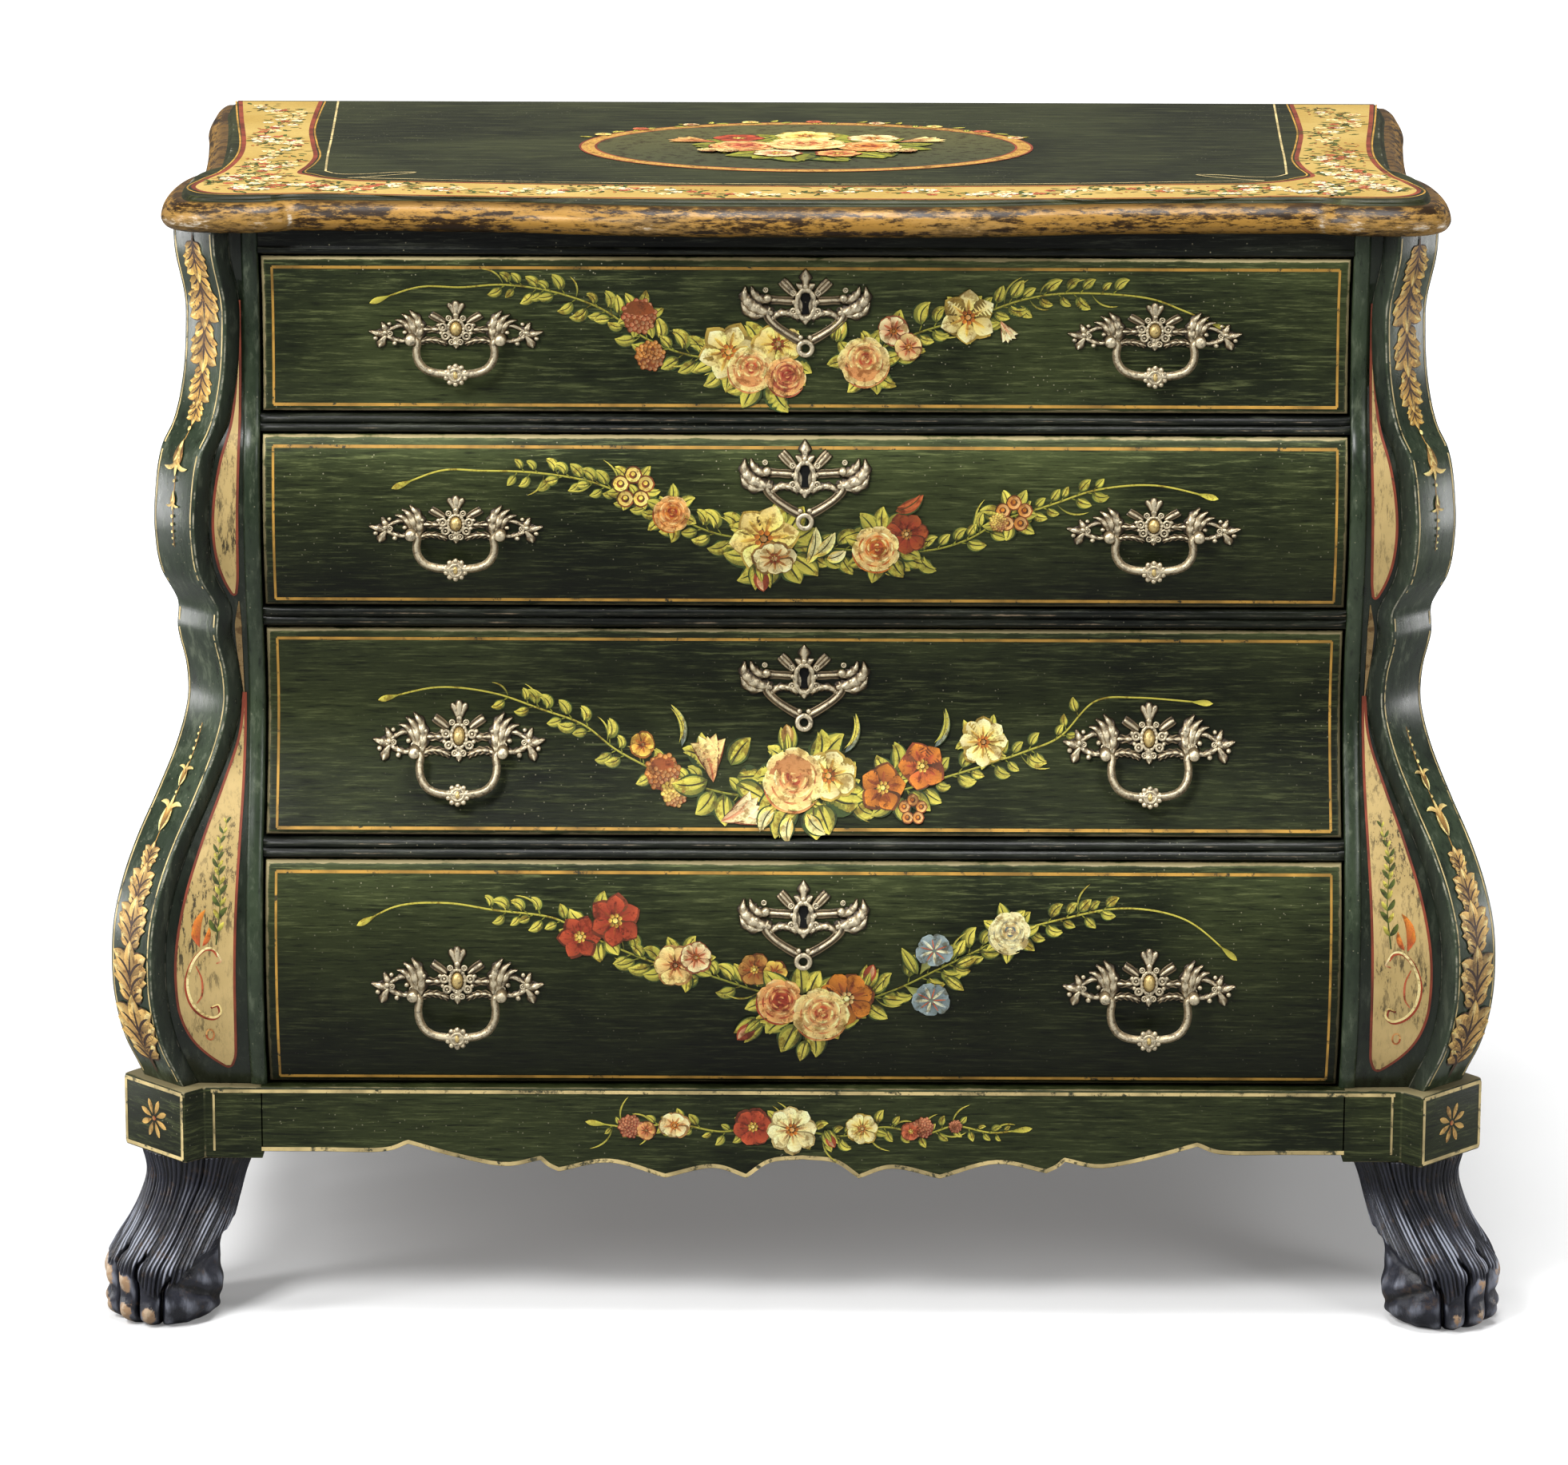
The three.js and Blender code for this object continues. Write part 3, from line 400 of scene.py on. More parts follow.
def painted_strokes(name):
    """Oil strokes that take their colour from the tint attribute, with bristle marks and fine cracks."""
    finish = Finish(name)
    tint = finish.attribute("tint", "Color")
    bristles = finish.noise(900, 3, 0.6, (0.4, 1, 1))
    cracks = finish.cells(420, "DISTANCE_TO_EDGE").step(0.035, 0)
    age = finish.noise(70, 4, 0.65)
    finish.colour = finish.mix(bristles.step(0.35, 0.75) * 0.5, tint, (0.8, 0.7, 0.42), "MULTIPLY")
    shadow = finish.noise(120, 5, 0.7)
    finish.over(shadow.step(0.5, 0.62) * 0.8, (0.36, 0.25, 0.11), "MULTIPLY")
    finish.over(cracks * age.step(0.42, 0.6) * 0.6, (0.05, 0.04, 0.02))
    rubbed = finish.noise(230, 5, 0.75).step(0.6, 0.68) * age.step(0.4, 0.6)
    finish.over(rubbed * 0.75, (0.02, 0.022, 0.01))
    return finish.done(bristles, 0.12, Roughness=0.45 + 0.15 * bristles, Specular_IOR_Level=0.4)


def worn_line(name, gold, ground, kept=0.5):
    """A thin painted line, rubbed away in places down to the ground colour."""
    finish = Finish(name)
    patches = finish.noise(130, 5, 0.7)
    tone = finish.noise(35, 3)
    finish.colour = finish.mix(tone.step(0.35, 0.7), gold, tuple(0.45 * c for c in gold))
    finish.over(patches.step(kept, kept + 0.12), ground)
    return finish.done(patches, 0.1, Roughness=0.42 + 0.2 * patches, Specular_IOR_Level=0.4)


def cream_reserve(name, cream, antique, stain, dirt, grain=(1, 1, 0.22)):
    """Cream ground, antiqued by a network of tiny brown patches, more of them where clouds of dirt lie."""
    finish = Finish(name)
    clouds = finish.noise(14, 4)
    specks = finish.noise(300, 5, 0.75, grain)
    tone = finish.attribute("wear")
    finish.colour = finish.mix(clouds.step(0.3, 0.7), cream, antique)
    finish.over(specks.step(0.5, 0.6) * (0.15 + 0.75 * tone + clouds.step(0.4, 0.62) * dirt), stain)
    pits = finish.cells(210).step(0.12, 0.06) * clouds.step(0.45, 0.6)
    finish.over(pits * 0.8, (0.06, 0.045, 0.02))
    return finish.done(specks - pits, 0.15, Roughness=0.5 + 0.15 * specks, Specular_IOR_Level=0.35)


def old_gilding(name):
    """The gilt and bronzed moulding of the top's edge: ochre, brown and near black in patches, darker where
    the moulding is drawn in, with pale worn spots where it stands out and at the nick, and a painted sheen
    on the corner lobes."""
    finish = Finish(name)
    clouds = finish.noise(30, 8, 0.76, (0.5, 0.5, 2.2))
    fine = finish.noise(240, 6, 0.75, (0.35, 0.35, 1.6))
    rub = finish.attribute("wear")
    finish.colour = finish.mix(clouds.step(0.4, 0.58), (0.02, 0.01, 0.003), (0.1, 0.052, 0.012))
    finish.over((clouds * 0.7 + fine * 0.5).step(0.55, 0.66) * 0.85, (0.35, 0.185, 0.035))
    finish.over((fine * 0.8 + clouds * 0.4).step(0.61, 0.52) * 0.95, (0.022, 0.011, 0.004))
    # Darker where the moulding is drawn in. Lighter and then whitish where the wear value is high: worn at
    # the nick and along the proud edge, a painted sheen on the corner lobes
    finish.over(rub.step(0.21, 0.05) * 0.65, (0.06, 0.03, 0.008))
    finish.over((rub * 0.6 + fine * 0.9).step(0.68, 0.86) * 0.5, (0.34, 0.2, 0.06))
    finish.over((rub + fine * 0.6).step(0.98, 1.1) * 0.8, (0.7, 0.66, 0.56))
    return finish.done(clouds * 0.5 + fine * 0.4, 0.35, Roughness=0.2 + 0.3 * fine, Specular_IOR_Level=0.18,
                       Metallic=0.25 * clouds.step(0.45, 0.7), Coat_Weight=0.16 * clouds.step(0.4, 0.65),
                       Coat_Roughness=0.14)


def cast_brass(name, hollow, middle, rubbed):
    """Aged cast brass: dark where the wear attribute is low, in the hollows, and pale where hands rub it."""
    finish = Finish(name)
    fine = finish.noise(520, 4, 0.65)
    clouds = finish.noise(60, 4)
    high = finish.attribute("wear")
    finish.colour = finish.mix((high + 0.4 * clouds).step(0.4, 0.86), hollow, middle)
    finish.over((high * 0.8 + fine * 0.5).step(0.72, 1.02) * 0.9, rubbed)
    grime = finish.noise(300, 5, 0.7).step(0.5, 0.64)
    finish.over(grime * 0.72, hollow)
    return finish.done(fine * 0.5 + clouds * 0.4, 0.3, Metallic=0.55 - 0.3 * grime, Specular_IOR_Level=0.6,
                       Roughness=0.26 + 0.25 * fine + 0.15 * grime)


def carved_foot(name):
    """Black worn paint on carved wood with tan wood on the toes. The wear attribute gives a painted silvery
    sheen on the ridges and painted shade in the deep grooves.
    """
    finish = Finish(name)
    clouds = finish.noise(26, 5, 0.6)
    fine = finish.noise(200, 5, 0.7, (1, 1, 0.22))
    painted_light = finish.attribute("wear")
    bareness = finish.attribute("tint", "Color")
    finish.colour = finish.mix(clouds.step(0.35, 0.7), (0.009, 0.01, 0.016), (0.026, 0.028, 0.042))
    # Painted sheen where the painted light value is high, painted shade where it is low
    finish.over((painted_light + fine * 0.4).step(0.7, 1.08) * 0.9, (0.33, 0.35, 0.42))
    finish.over(painted_light.step(0.3, 0.05) * 0.97, (0.002, 0.002, 0.003))
    brown = finish.noise(75, 6, 0.75)
    finish.over(brown.step(0.55, 0.66) * 0.5, (0.1, 0.06, 0.035))
    spot = finish.node("ShaderNodeSeparateColor", None, {0: bareness}, 0)
    finish.over((spot * 0.55 + brown * 0.7 + fine * 0.25).step(0.66, 0.74), (0.4, 0.25, 0.14))
    finish.over((spot * 0.5 + finish.noise(160, 4, 0.7)).step(0.74, 0.86) * 0.8, (0.5, 0.38, 0.26))
    return finish.done(fine * 0.5 + brown * 1.2, 0.8, Roughness=0.2 + 0.3 * fine, Specular_IOR_Level=0.45)


def planed_wood(name, pale, deep, along):
    """Bare wood with its grain drawn out along one axis."""
    finish = Finish(name)
    stretch = tuple(0.06 if axis == along else 1 for axis in "xyz")
    grain = finish.noise(95, 6, 0.65, stretch, 1.2)
    pores = finish.noise(900, 2, 0.5, tuple(0.04 if axis == along else 1 for axis in "xyz"))
    clouds = finish.noise(4, 3)
    finish.colour = finish.mix(grain.step(0.32, 0.7), pale, deep)
    finish.over(pores.step(0.56, 0.7) * 0.5, tuple(0.35 * c for c in deep))
    finish.over(clouds.step(0.45, 0.7) * 0.35, deep)
    return finish.done(grain * 0.6 - pores * 0.4, 0.3, Roughness=0.62 + 0.2 * grain, Specular_IOR_Level=0.3)


def dull_iron(name):
    finish = Finish(name)
    rust = finish.noise(120, 5, 0.7)
    finish.colour = finish.mix(rust.step(0.45, 0.65), (0.07, 0.068, 0.065), (0.12, 0.06, 0.03))
    return finish.done(rust, 0.2, Metallic=0.8 - 0.5 * rust.step(0.45, 0.65), Roughness=0.45 + 0.3 * rust)


CASE_GREEN = rubbed_paint("case_green", (0.007, 0.01, 0.003), (0.028, 0.036, 0.011), (0.1, 0.115, 0.042),
                          (0.26, 0.2, 0.11), 0.38)
RAIL_BLACK = rubbed_paint("rail_black", (0.004, 0.005, 0.004), (0.01, 0.012, 0.007), (0.06, 0.065, 0.045),
                          (0.3, 0.22, 0.14), 0.28)
POST_GREEN = rubbed_paint("post_green", (0.015, 0.026, 0.012), (0.042, 0.062, 0.032), (0.13, 0.155, 0.1),
                          (0.42, 0.39, 0.3), 0.25, (2, 2, 0.6), 0.2, 0.42)
SIDE_GREEN = rubbed_paint("side_green", (0.008, 0.012, 0.005), (0.024, 0.031, 0.012), (0.08, 0.09, 0.04),
                          (0.26, 0.2, 0.11), 0.36, (1, 0.25, 3))
TOP_OLIVE = rubbed_paint("top_olive", (0.012, 0.014, 0.005), (0.032, 0.036, 0.013), (0.07, 0.074, 0.028),
                         (0.5, 0.46, 0.36), 0.36, (0.4, 4, 1), 0.4, 0.15)
RESERVE_CREAM = cream_reserve("reserve_cream", (0.62, 0.45, 0.19), (0.42, 0.3, 0.11), (0.06, 0.045, 0.02),
                              0.9)
BAND_YELLOW = cream_reserve("band_yellow", (0.5, 0.35, 0.1), (0.42, 0.27, 0.06), (0.16, 0.09, 0.03), 0,
                            (1, 1, 1))
STROKES = painted_strokes("painted_strokes")
GOLD_LINE = worn_line("gold_line", (0.55, 0.3, 0.05), (0.035, 0.03, 0.012), 0.56)
PALE_LINE = worn_line("pale_gold_line", (0.72, 0.56, 0.25), (0.05, 0.05, 0.025), 0.53)
RED_LINE = worn_line("red_line", (0.26, 0.05, 0.022), (0.1, 0.03, 0.015), 0.6)
GILT_EDGE = old_gilding("gilt_edge")
BRASS = cast_brass("aged_cast_brass", (0.03, 0.019, 0.009), (0.29, 0.21, 0.11), (0.76, 0.66, 0.45))
BOSS_GOLD = cast_brass("rubbed_boss", (0.1, 0.06, 0.02), (0.42, 0.28, 0.09), (0.8, 0.6, 0.24))
FOOT_PAINT = carved_foot("carved_foot_paint")
DRAWER_WOOD = planed_wood("drawer_wood", (0.36, 0.22, 0.11), (0.19, 0.1, 0.045), "y")
BOARD_WOOD = planed_wood("board_wood", (0.25, 0.15, 0.075), (0.12, 0.065, 0.03), "x")
BACK_WOOD = planed_wood("back_wood", (0.16, 0.1, 0.05), (0.075, 0.043, 0.022), "z")
LOCK_IRON = dull_iron("lock_iron_dull")
# Painted shade: the colour of the flat sheet that stands for the dark inside the keyholes
KEYHOLE_PAINTED_SHADE = rubbed_paint("keyhole_painted_shade", (0.003, 0.003, 0.003), (0.005, 0.005, 0.004), (0.01, 0.01, 0.009),
                            (0.01, 0.01, 0.009), 0.7)


# Drawer fronts

FRONT_HALF = OPENING_HALF - 2
FRONT_STEP = 4
FRONT_THICKNESS = 22
LIT_BY_SLOPE = 0.05
# Painted light for each drawer front as a whole, brightest on the top drawer
FRONT_PAINTED_LIGHT = {1: 1.9, 2: 1.4, 3: 0.95, 4: 0.95}


def rounded_rim(distance):
    """How far a face falls back at some distance from its edge: a quarter circle of the edge radius."""
    short = FRONT_EDGE - np.minimum(distance, FRONT_EDGE)
    return FRONT_EDGE - np.sqrt(np.maximum(FRONT_EDGE**2 - short**2, 0))


def eased(low, high, step):
    """Places from low to high: five close together within the edge radius of either end, even between."""
    rim = FRONT_EDGE * (1 - np.cos(np.linspace(0, np.pi / 2, 6)))
    count = max(2, int(round((high - low - 2 * FRONT_EDGE) / step)))
    inner = np.linspace(low + FRONT_EDGE, high - FRONT_EDGE, count + 1)
    return np.concatenate([low + rim[:-1], inner, (high - rim[:-1])[::-1]])


def drawer_front(number):
    """The swelling front: y is minus the swell at that height, plus the fall of the rounded rim, over a grid
    of x and z. A skirt runs from the rim to a flat back."""
    low, high = drawer_span(number)
    x = eased(-FRONT_HALF, FRONT_HALF, 26)
    z = eased(low, high, FRONT_STEP)
    gx, gz = np.meshgrid(x, z)
    edge = np.minimum(FRONT_HALF - np.abs(gx), np.minimum(gz - low, high - gz))
    face = stacked(gx, rounded_rim(edge) - swell(gz), gz)
    wear = np.clip(1 - np.abs(edge - 1.2) / 5, 0, 1)
    back = FRONT_THICKNESS - swell(z).min()
    # Painted light and shade in the tint: lighter towards the top, a painted highlight along the upper edge,
    # lighter where the face tilts up, and the painted brightness of the drawer
    share = (gz - low) / (high - low)
    shade = 0.5 + 0.5 * share + 0.6 * hump(1 - share, 0.16)
    shade = shade + LIT_BY_SLOPE * (swell(gz - 6) - swell(gz + 6))
    shade = np.clip(shade * FRONT_PAINTED_LIGHT[number], 0.35, 2.2)
    shell = Shell()
    shell.grid(face, wear=wear, tint=grey(shade))
    rim = np.concatenate([face[0, :-1], face[:-1, -1], face[-1, :0:-1], face[:0:-1, 0]])
    behind = rim.copy()
    behind[:, 1] = back
    shell.grid(np.array([behind, rim]), around=True, wear=0.3)
    shell.faces.append((shell.count - 2 * len(rim) + np.arange(len(rim))).tolist())
    shell.slots.append(0)
    return shell.made(f"swelling_front_{number}", [CASE_GREEN], f"drawer_{number}_front", f"drawer_{number}",
                      sharp=60)


# Corner posts and side panels

POST_STEP = 3
POST_RADII = (1.2, 2.2, 2.2, 1.2, 0, 0)
# Painted shade on the flat between the bead and the truss, as shares of the paint's brightness
PAINTED_SHADE_BY_THE_BEAD = (0.6, 0.4, 0.35, 0.3, 0.3, 0.35, 0.6)


def heights(low, high, step):
    return np.linspace(low, high, max(2, int(round((high - low) / step))) + 1)


def corner_post(name, side):
    """At each height the section is a bead beside the drawers, a flat that widens with the swell, a step out,
    the canted face and a step back, each corner a little rounded."""
    z = heights(PLINTH_TOP + GAP, CASE_TOP, POST_STEP)
    a = swell(z)
    b = truss_swell(z)
    turn = np.linspace(0, np.pi, 9)
    across = OPENING_HALF + BEAD_WIDTH / 2 * (1 - np.cos(turn))
    bead = stacked(across, -a[:, None] - BEAD_PROUD * np.sin(turn))
    corners = np.stack([
        np.c_[TRUSS_START + b, -a],
        np.c_[TRUSS_START + TRUSS_RETURN + b, -TRUSS_RETURN - b],
        np.c_[CASE_HALF + TRUSS_RETURN + b, TRUSS_SPAN - TRUSS_RETURN - b],
        np.c_[CASE_HALF + b, TRUSS_SPAN - b],
        np.c_[CASE_HALF + b, np.full_like(b, POST_DEPTH)],
        np.c_[np.full_like(b, OPENING_HALF), np.full_like(b, POST_DEPTH)],
    ], axis=1)
    outline, bent = softened(corners, POST_RADII)
    section = np.concatenate([bead, outline], axis=1)
    bead_wear = np.broadcast_to(0.55 * np.sin(turn), bead.shape[:2])
    ring = stacked(side * section[..., 0], section[..., 1], z[:, None])
    # Painted shade in the tint: darker over the outer edge of the bead, the flat beside it and the return
    # face of the truss
    grime = np.ones(section.shape[1])
    grime[7:14] = PAINTED_SHADE_BY_THE_BEAD
    shell = Shell()
    shell.grid(ring, around=True, caps=True, wear=np.concatenate([bead_wear, bent * 0.9], axis=1),
               tint=grey(grime))
    return shell.made(f"{name}_truss_post", [POST_GREEN], f"{name}_corner_post", sharp=50)


def side_panel(name, side):
    """A board whose outer and inner faces both follow the swell of the case."""
    z = heights(PLINTH_TOP + GAP, CASE_TOP, 4)
    outer = CASE_HALF + swell(z)
    y = np.linspace(POST_DEPTH + GAP, CASE_DEPTH, 15)
    face = np.stack([stacked(side * outer, place, z) for place in y], axis=1)
    inner = np.stack([stacked(side * (outer - SIDE_THICKNESS), place, z) for place in y[::-1]], axis=1)
    shell = Shell()
    shell.grid(np.concatenate([face, inner], axis=1), around=True, caps=True)
    return shell.made(f"{name}_swelling_side", [SIDE_GREEN], f"{name}_side_panel", sharp=40)


for number in DRAWERS:
    drawer_front(number)
for name, side in SIDES.items():
    corner_post(name, side)
    side_panel(name, side)


# Top board

TOP_HALF = 478
TOP_FRONT = -43
TOP_BACK = CASE_DEPTH + 4
TOP_FACE = OVERALL_HEIGHT - 0.9
NOSING_DEPTH = 19
TOP_MIDDLE = (0, 235)
TOP_OUTLINE_SHARES = ((0, 0), (0.105, 0), (0.232, 0.0036), (0.345, 0.018), (0.456, 0.034), (0.596, 0.0415),
                      (0.711, 0.0433), (0.768, 0.046), (0.795, 0.0343), (0.837, 0.0235), (0.9, 0.0226),
                      (0.941, 0.0325), (0.964, 0.0505), (0.977, 0.083), (0.983, 0.132), (0.985, 0.18),
                      (0.983, 0.231), (0.977, 0.274), (0.962, 0.321), (0.95, 0.35), (0.954, 0.448),
                      (0.966, 0.599), (0.983, 0.763), (0.996, 0.872), (1, 1))
NOSING_SHARES = ((0, 0.5), (0.06, 0.2), (0.14, 0.07), (0.26, 0), (0.38, 0.015), (0.5, 0.07), (0.62, 0.17),
                 (0.72, 0.3), (0.8, 0.45), (0.85, 0.6), (0.86, 0.8), (0.9, 0.9), (0.95, 0.93), (1, 1))
GILT_SHARE = 0.86
NICK_PLACE = 372
NICK_WIDTH = 5
ARRIS_WEAR = 0.6
TOP_FILL_SHARES = (1, 0.97, 0.9, 0.7, 0.45, 0.2, 0.02)
FLAT_WEAR = (0.72, 0.2, 0, 0, 0, 0, 0)


def top_outline():
    """The whole outline of the top board, from its left back corner round the front to the right one."""
    size = np.array([TOP_HALF, TOP_BACK - TOP_FRONT])
    half = smooth_path(np.array(TOP_OUTLINE_SHARES) * size + (0, TOP_FRONT), 240)
    return np.vstack([half[:0:-1] * (-1, 1), half])


def drawn_in(outline, inset):
    """The outline moved inward by an inset, with its two ends kept on the back edge."""
    moved = outline - beside(outline) * inset
    moved[[0, -1], 1] = outline[[0, -1], 1]
    return moved


def bend_of(outline, span=9):
    """How strongly the outline bulges outward, zero to one, from points some steps apart."""
    ahead = np.roll(outline, -span, axis=0) + np.roll(outline, span, axis=0) - 2 * outline
    inward = -(ahead * beside(outline)).sum(1)
    inward[:span] = inward[-span:] = 0
    return np.clip(inward / 6, 0, 1)


def top_board():
    """Rings of the outline drawn in by the section of the thumb moulding, then a flat filled by rings that
    shrink to the middle."""
    outline = top_outline()
    underside = CASE_TOP + GAP
    section = smooth_path(NOSING_SHARES, 40)
    rings = []
    for rise, inset in section:
        height = underside + rise * (TOP_FACE - underside)
        rings.append(np.c_[drawn_in(outline, inset * NOSING_DEPTH), np.full(len(outline), height)])
    proud = np.clip(1 - section[:, 1] * 1.4, 0, 1)
    gilt = int(np.searchsorted(section[:, 0], GILT_SHARE))
    nick = hump(np.abs(outline[:, 0]) - NICK_PLACE, NICK_WIDTH) * (outline[:, 1] < 0)
    # Wear of the gilt edge: real wear where the moulding stands out and at the nick; the share from the bend
    # is a painted sheen on the corner lobes
    worn = proud[:, None] * (0.28 + bend_of(outline) * 0.42) + nick * 0.45
    shell = Shell()
    shell.grid(np.array(rings[:gilt + 1]), around=True, wear=worn[:gilt + 1])
    shell.grid(np.array(rings[gilt:]), around=True, slot=1, wear=ARRIS_WEAR)
    middle = np.array([*TOP_MIDDLE, TOP_FACE])
    flat = [middle + (rings[-1] - middle) * share for share in TOP_FILL_SHARES]
    shell.grid(np.array(flat), around=True, slot=1, wear=np.array(FLAT_WEAR)[:, None])
    shell.faces.append(range(len(outline)))
    shell.slots.append(0)
    return shell.made("serpentine_top", [GILT_EDGE, TOP_OLIVE], "top_board", slot="top_paint", sharp=35)


# Rails and dust boards

DUST_BOARD = 10
RAIL_DEPTH = 20
GUIDE_EDGES = (OPENING_HALF - 3.5, OPENING_HALF + 12.5)
GUIDE_HEIGHT = 14
DIVIDERS = (3, 2, 1)
RAIL_END = OPENING_HALF - GAP
TOP_RAIL_BEAD = 1.6


def rail(shell, x, face, z, back, wear):
    """A rail from its face, given over x and z, to a flat back."""
    rear = np.array([[[place, back, z[-1]], [place, back, z[0]]] for place in x])
    wear = np.concatenate([np.broadcast_to(wear, face.shape[:2]), np.zeros((len(x), 2))], axis=1)
    shell.grid(np.concatenate([face, rear], axis=1), around=True, caps=True, wear=wear)


def beaded_rail(shell, low, high, back, beads):
    """A rail whose face carries beads: half rounds of equal height beside each other, each end of the rail
    cut back a little so that the beads end in points."""
    share = np.linspace(0, 1, 8 * beads + 1)
    proud = BEAD_PROUD * np.abs(np.sin(share * np.pi * beads)) ** 0.7
    z = low + share * (high - low)
    x = np.concatenate([[-RAIL_END], np.linspace(-RAIL_END + 6, RAIL_END - 6, 33), [RAIL_END]])
    ends = np.where(np.abs(x) > RAIL_END - 1, 0, 1)
    face = stacked(x[:, None], -swell(z) - proud * ends[:, None], z)
    rail(shell, x, face, z, back, (proud / BEAD_PROUD) ** 4 * 0.75)


def divider(number):
    """The moulded rail, the dust board behind it and the two strips that guide the drawer above."""
    low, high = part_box(f"divider_{number}")
    wide = high.x / MM
    back = high.y / MM - FRONT_SHIFT
    top = high.z / MM - GUIDE_HEIGHT
    shell = Shell()
    beaded_rail(shell, low.z / MM, top, RAIL_DEPTH, 2)
    shell.block((-RAIL_END, RAIL_DEPTH, top - DUST_BOARD), (RAIL_END, POST_DEPTH + GAP, top), slot=1)
    shell.block((-wide, POST_DEPTH + GAP, top - DUST_BOARD), (wide, back, top), slot=1)
    for side in SIDES.values():
        near, far = sorted(side * place for place in GUIDE_EDGES)
        shell.block((near, POST_DEPTH + GAP, top), (far, back, top + GUIDE_HEIGHT), slot=1)
    return shell.made(f"beaded_rail_{number}", [RAIL_BLACK, BOARD_WOOD], f"divider_{number}", sharp=70)


def top_rail():
    """The narrow rail under the top board, with a small bead along its lower edge."""
    low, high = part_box("top_rail")
    z = np.linspace(low.z / MM, high.z / MM, 25)
    share = (z - z[0]) / (z[-1] - z[0])
    bead = np.sqrt(np.clip(1 - ((share - 0.16) / 0.15) ** 2, 0, 1))
    x = np.linspace(-RAIL_END, RAIL_END, 25)
    shell = Shell()
    face = stacked(x[:, None], -swell(z) - TOP_RAIL_BEAD * bead, z)
    rail(shell, x, face, z, high.y / MM - FRONT_SHIFT, bead * 0.5)
    return shell.made("rail_under_top", [RAIL_BLACK], "top_rail", sharp=60)


# Plinth

APRON_FRONT = -47.16
APRON_SIDE = 490.97
APRON_THICKNESS = 22
APRON_DROP = 69.5
BLOCK_INNER = OPENING_HALF + 3
FRONT_BLOCK_BACK = 45
REAR_BLOCK = 92
BACK_THICKNESS = 16
BOTTOM_BOARD = 17
BLOCK_CORNERS = ((443, APRON_FRONT), (456.8, -61), (506.3, -11.4), (APRON_SIDE, 9),
                 (APRON_SIDE, FRONT_BLOCK_BACK), (BLOCK_INNER, FRONT_BLOCK_BACK), (BLOCK_INNER, APRON_FRONT))
BLOCK_RADII = (2, 2.5, 2.5, 2, 0, 0, 0)
BLOCK_MIDDLE = (448, -4)
REAR_RAIL_LOW = 130
APRON_STROKE_SHARES = (((0, 0.79), (0.06, 0.83), (0.104, 1)), ((0.104, 1), (0.167, 0.89), (0.254, 1)),
                       ((0.254, 1), (0.357, 0.835), (0.451, 0.935)), ((0.451, 0.935), (0.47, 0.88),
                       (0.484, 0.806)), ((0.484, 0.806), (0.551, 0.878), (0.64, 0.78), (0.729, 0.633)),
                       ((0.729, 0.633), (0.777, 0.72), (0.89, 0.72)), ((0.89, 0.72), (0.945, 0.72),
                       (1, 0.72)))
LIP = 2.2


def apron_edge(half_length):
    """The scrolled lower edge of an apron, as places along it and heights, from end to end."""
    half = np.vstack([smooth_path(stroke, 15)[:-1] for stroke in APRON_STROKE_SHARES] + [[(1, 0.72)]])
    whole = np.vstack([half[:0:-1] * (-1, 1), half])
    return whole[:, 0] * half_length, PLINTH_TOP - whole[:, 1] * APRON_DROP


def apron(shell, half_length, place):
    """A scrolled board. At each step along it a ring runs up the face, with its edges rounded over, and
    down the back. place(along, depth, height) sets it where it belongs."""
    along, low = apron_edge(half_length)
    rim = LIP * np.array([0, 0.08, 0.3, 0.62, 1])
    fall = LIP * np.array([1, 0.62, 0.3, 0.08, 0])
    middle = np.linspace(0, 1, 8)[1:-1]
    ring = []
    for z0 in low:
        inner = z0 + LIP + middle * (PLINTH_TOP - z0 - 2 * LIP)
        z = np.concatenate([z0 + rim, inner, PLINTH_TOP - rim[::-1], [PLINTH_TOP, z0]])
        depth = np.concatenate([fall, 0 * inner, fall[::-1], [APRON_THICKNESS, APRON_THICKNESS]])
        ring.append(np.c_[depth, z])
    ring = np.array(ring)
    wear = np.concatenate([[0.8, 0.9, 0.6, 0.25, 0.1], 0 * middle, [0.1, 0.3, 0.7, 0.9, 0.7], [0, 0]])
    points = place(np.broadcast_to(along[:, None], ring.shape[:2]), ring[..., 0], ring[..., 1])
    shell.grid(points, around=True, caps=True, wear=wear)


def block_over_foot(shell, side):
    """A canted block with softened corners and edges rounded over at top and bottom."""
    corners = np.array(BLOCK_CORNERS)[None]
    outline, bent = softened(corners, BLOCK_RADII)
    z = np.array([FOOT_TOP, FOOT_TOP + 0.5, FOOT_TOP + 2, 150, PLINTH_TOP - 2, PLINTH_TOP - 0.5, PLINTH_TOP])
    inset = np.array([1.6, 0.5, 0, 0, 0, 0.5, 1.6])
    rings = outline[0] - unit(outline[0] - BLOCK_MIDDLE) * inset[:, None, None]
    wear = np.array([0.9, 0.8, 0, 0, 0, 0.8, 0.9])[:, None] + bent * 0.8
    points = stacked(side * rings[..., 0], rings[..., 1], z[:, None])
    shell.grid(points, around=True, caps=True, wear=np.clip(wear, 0, 1))


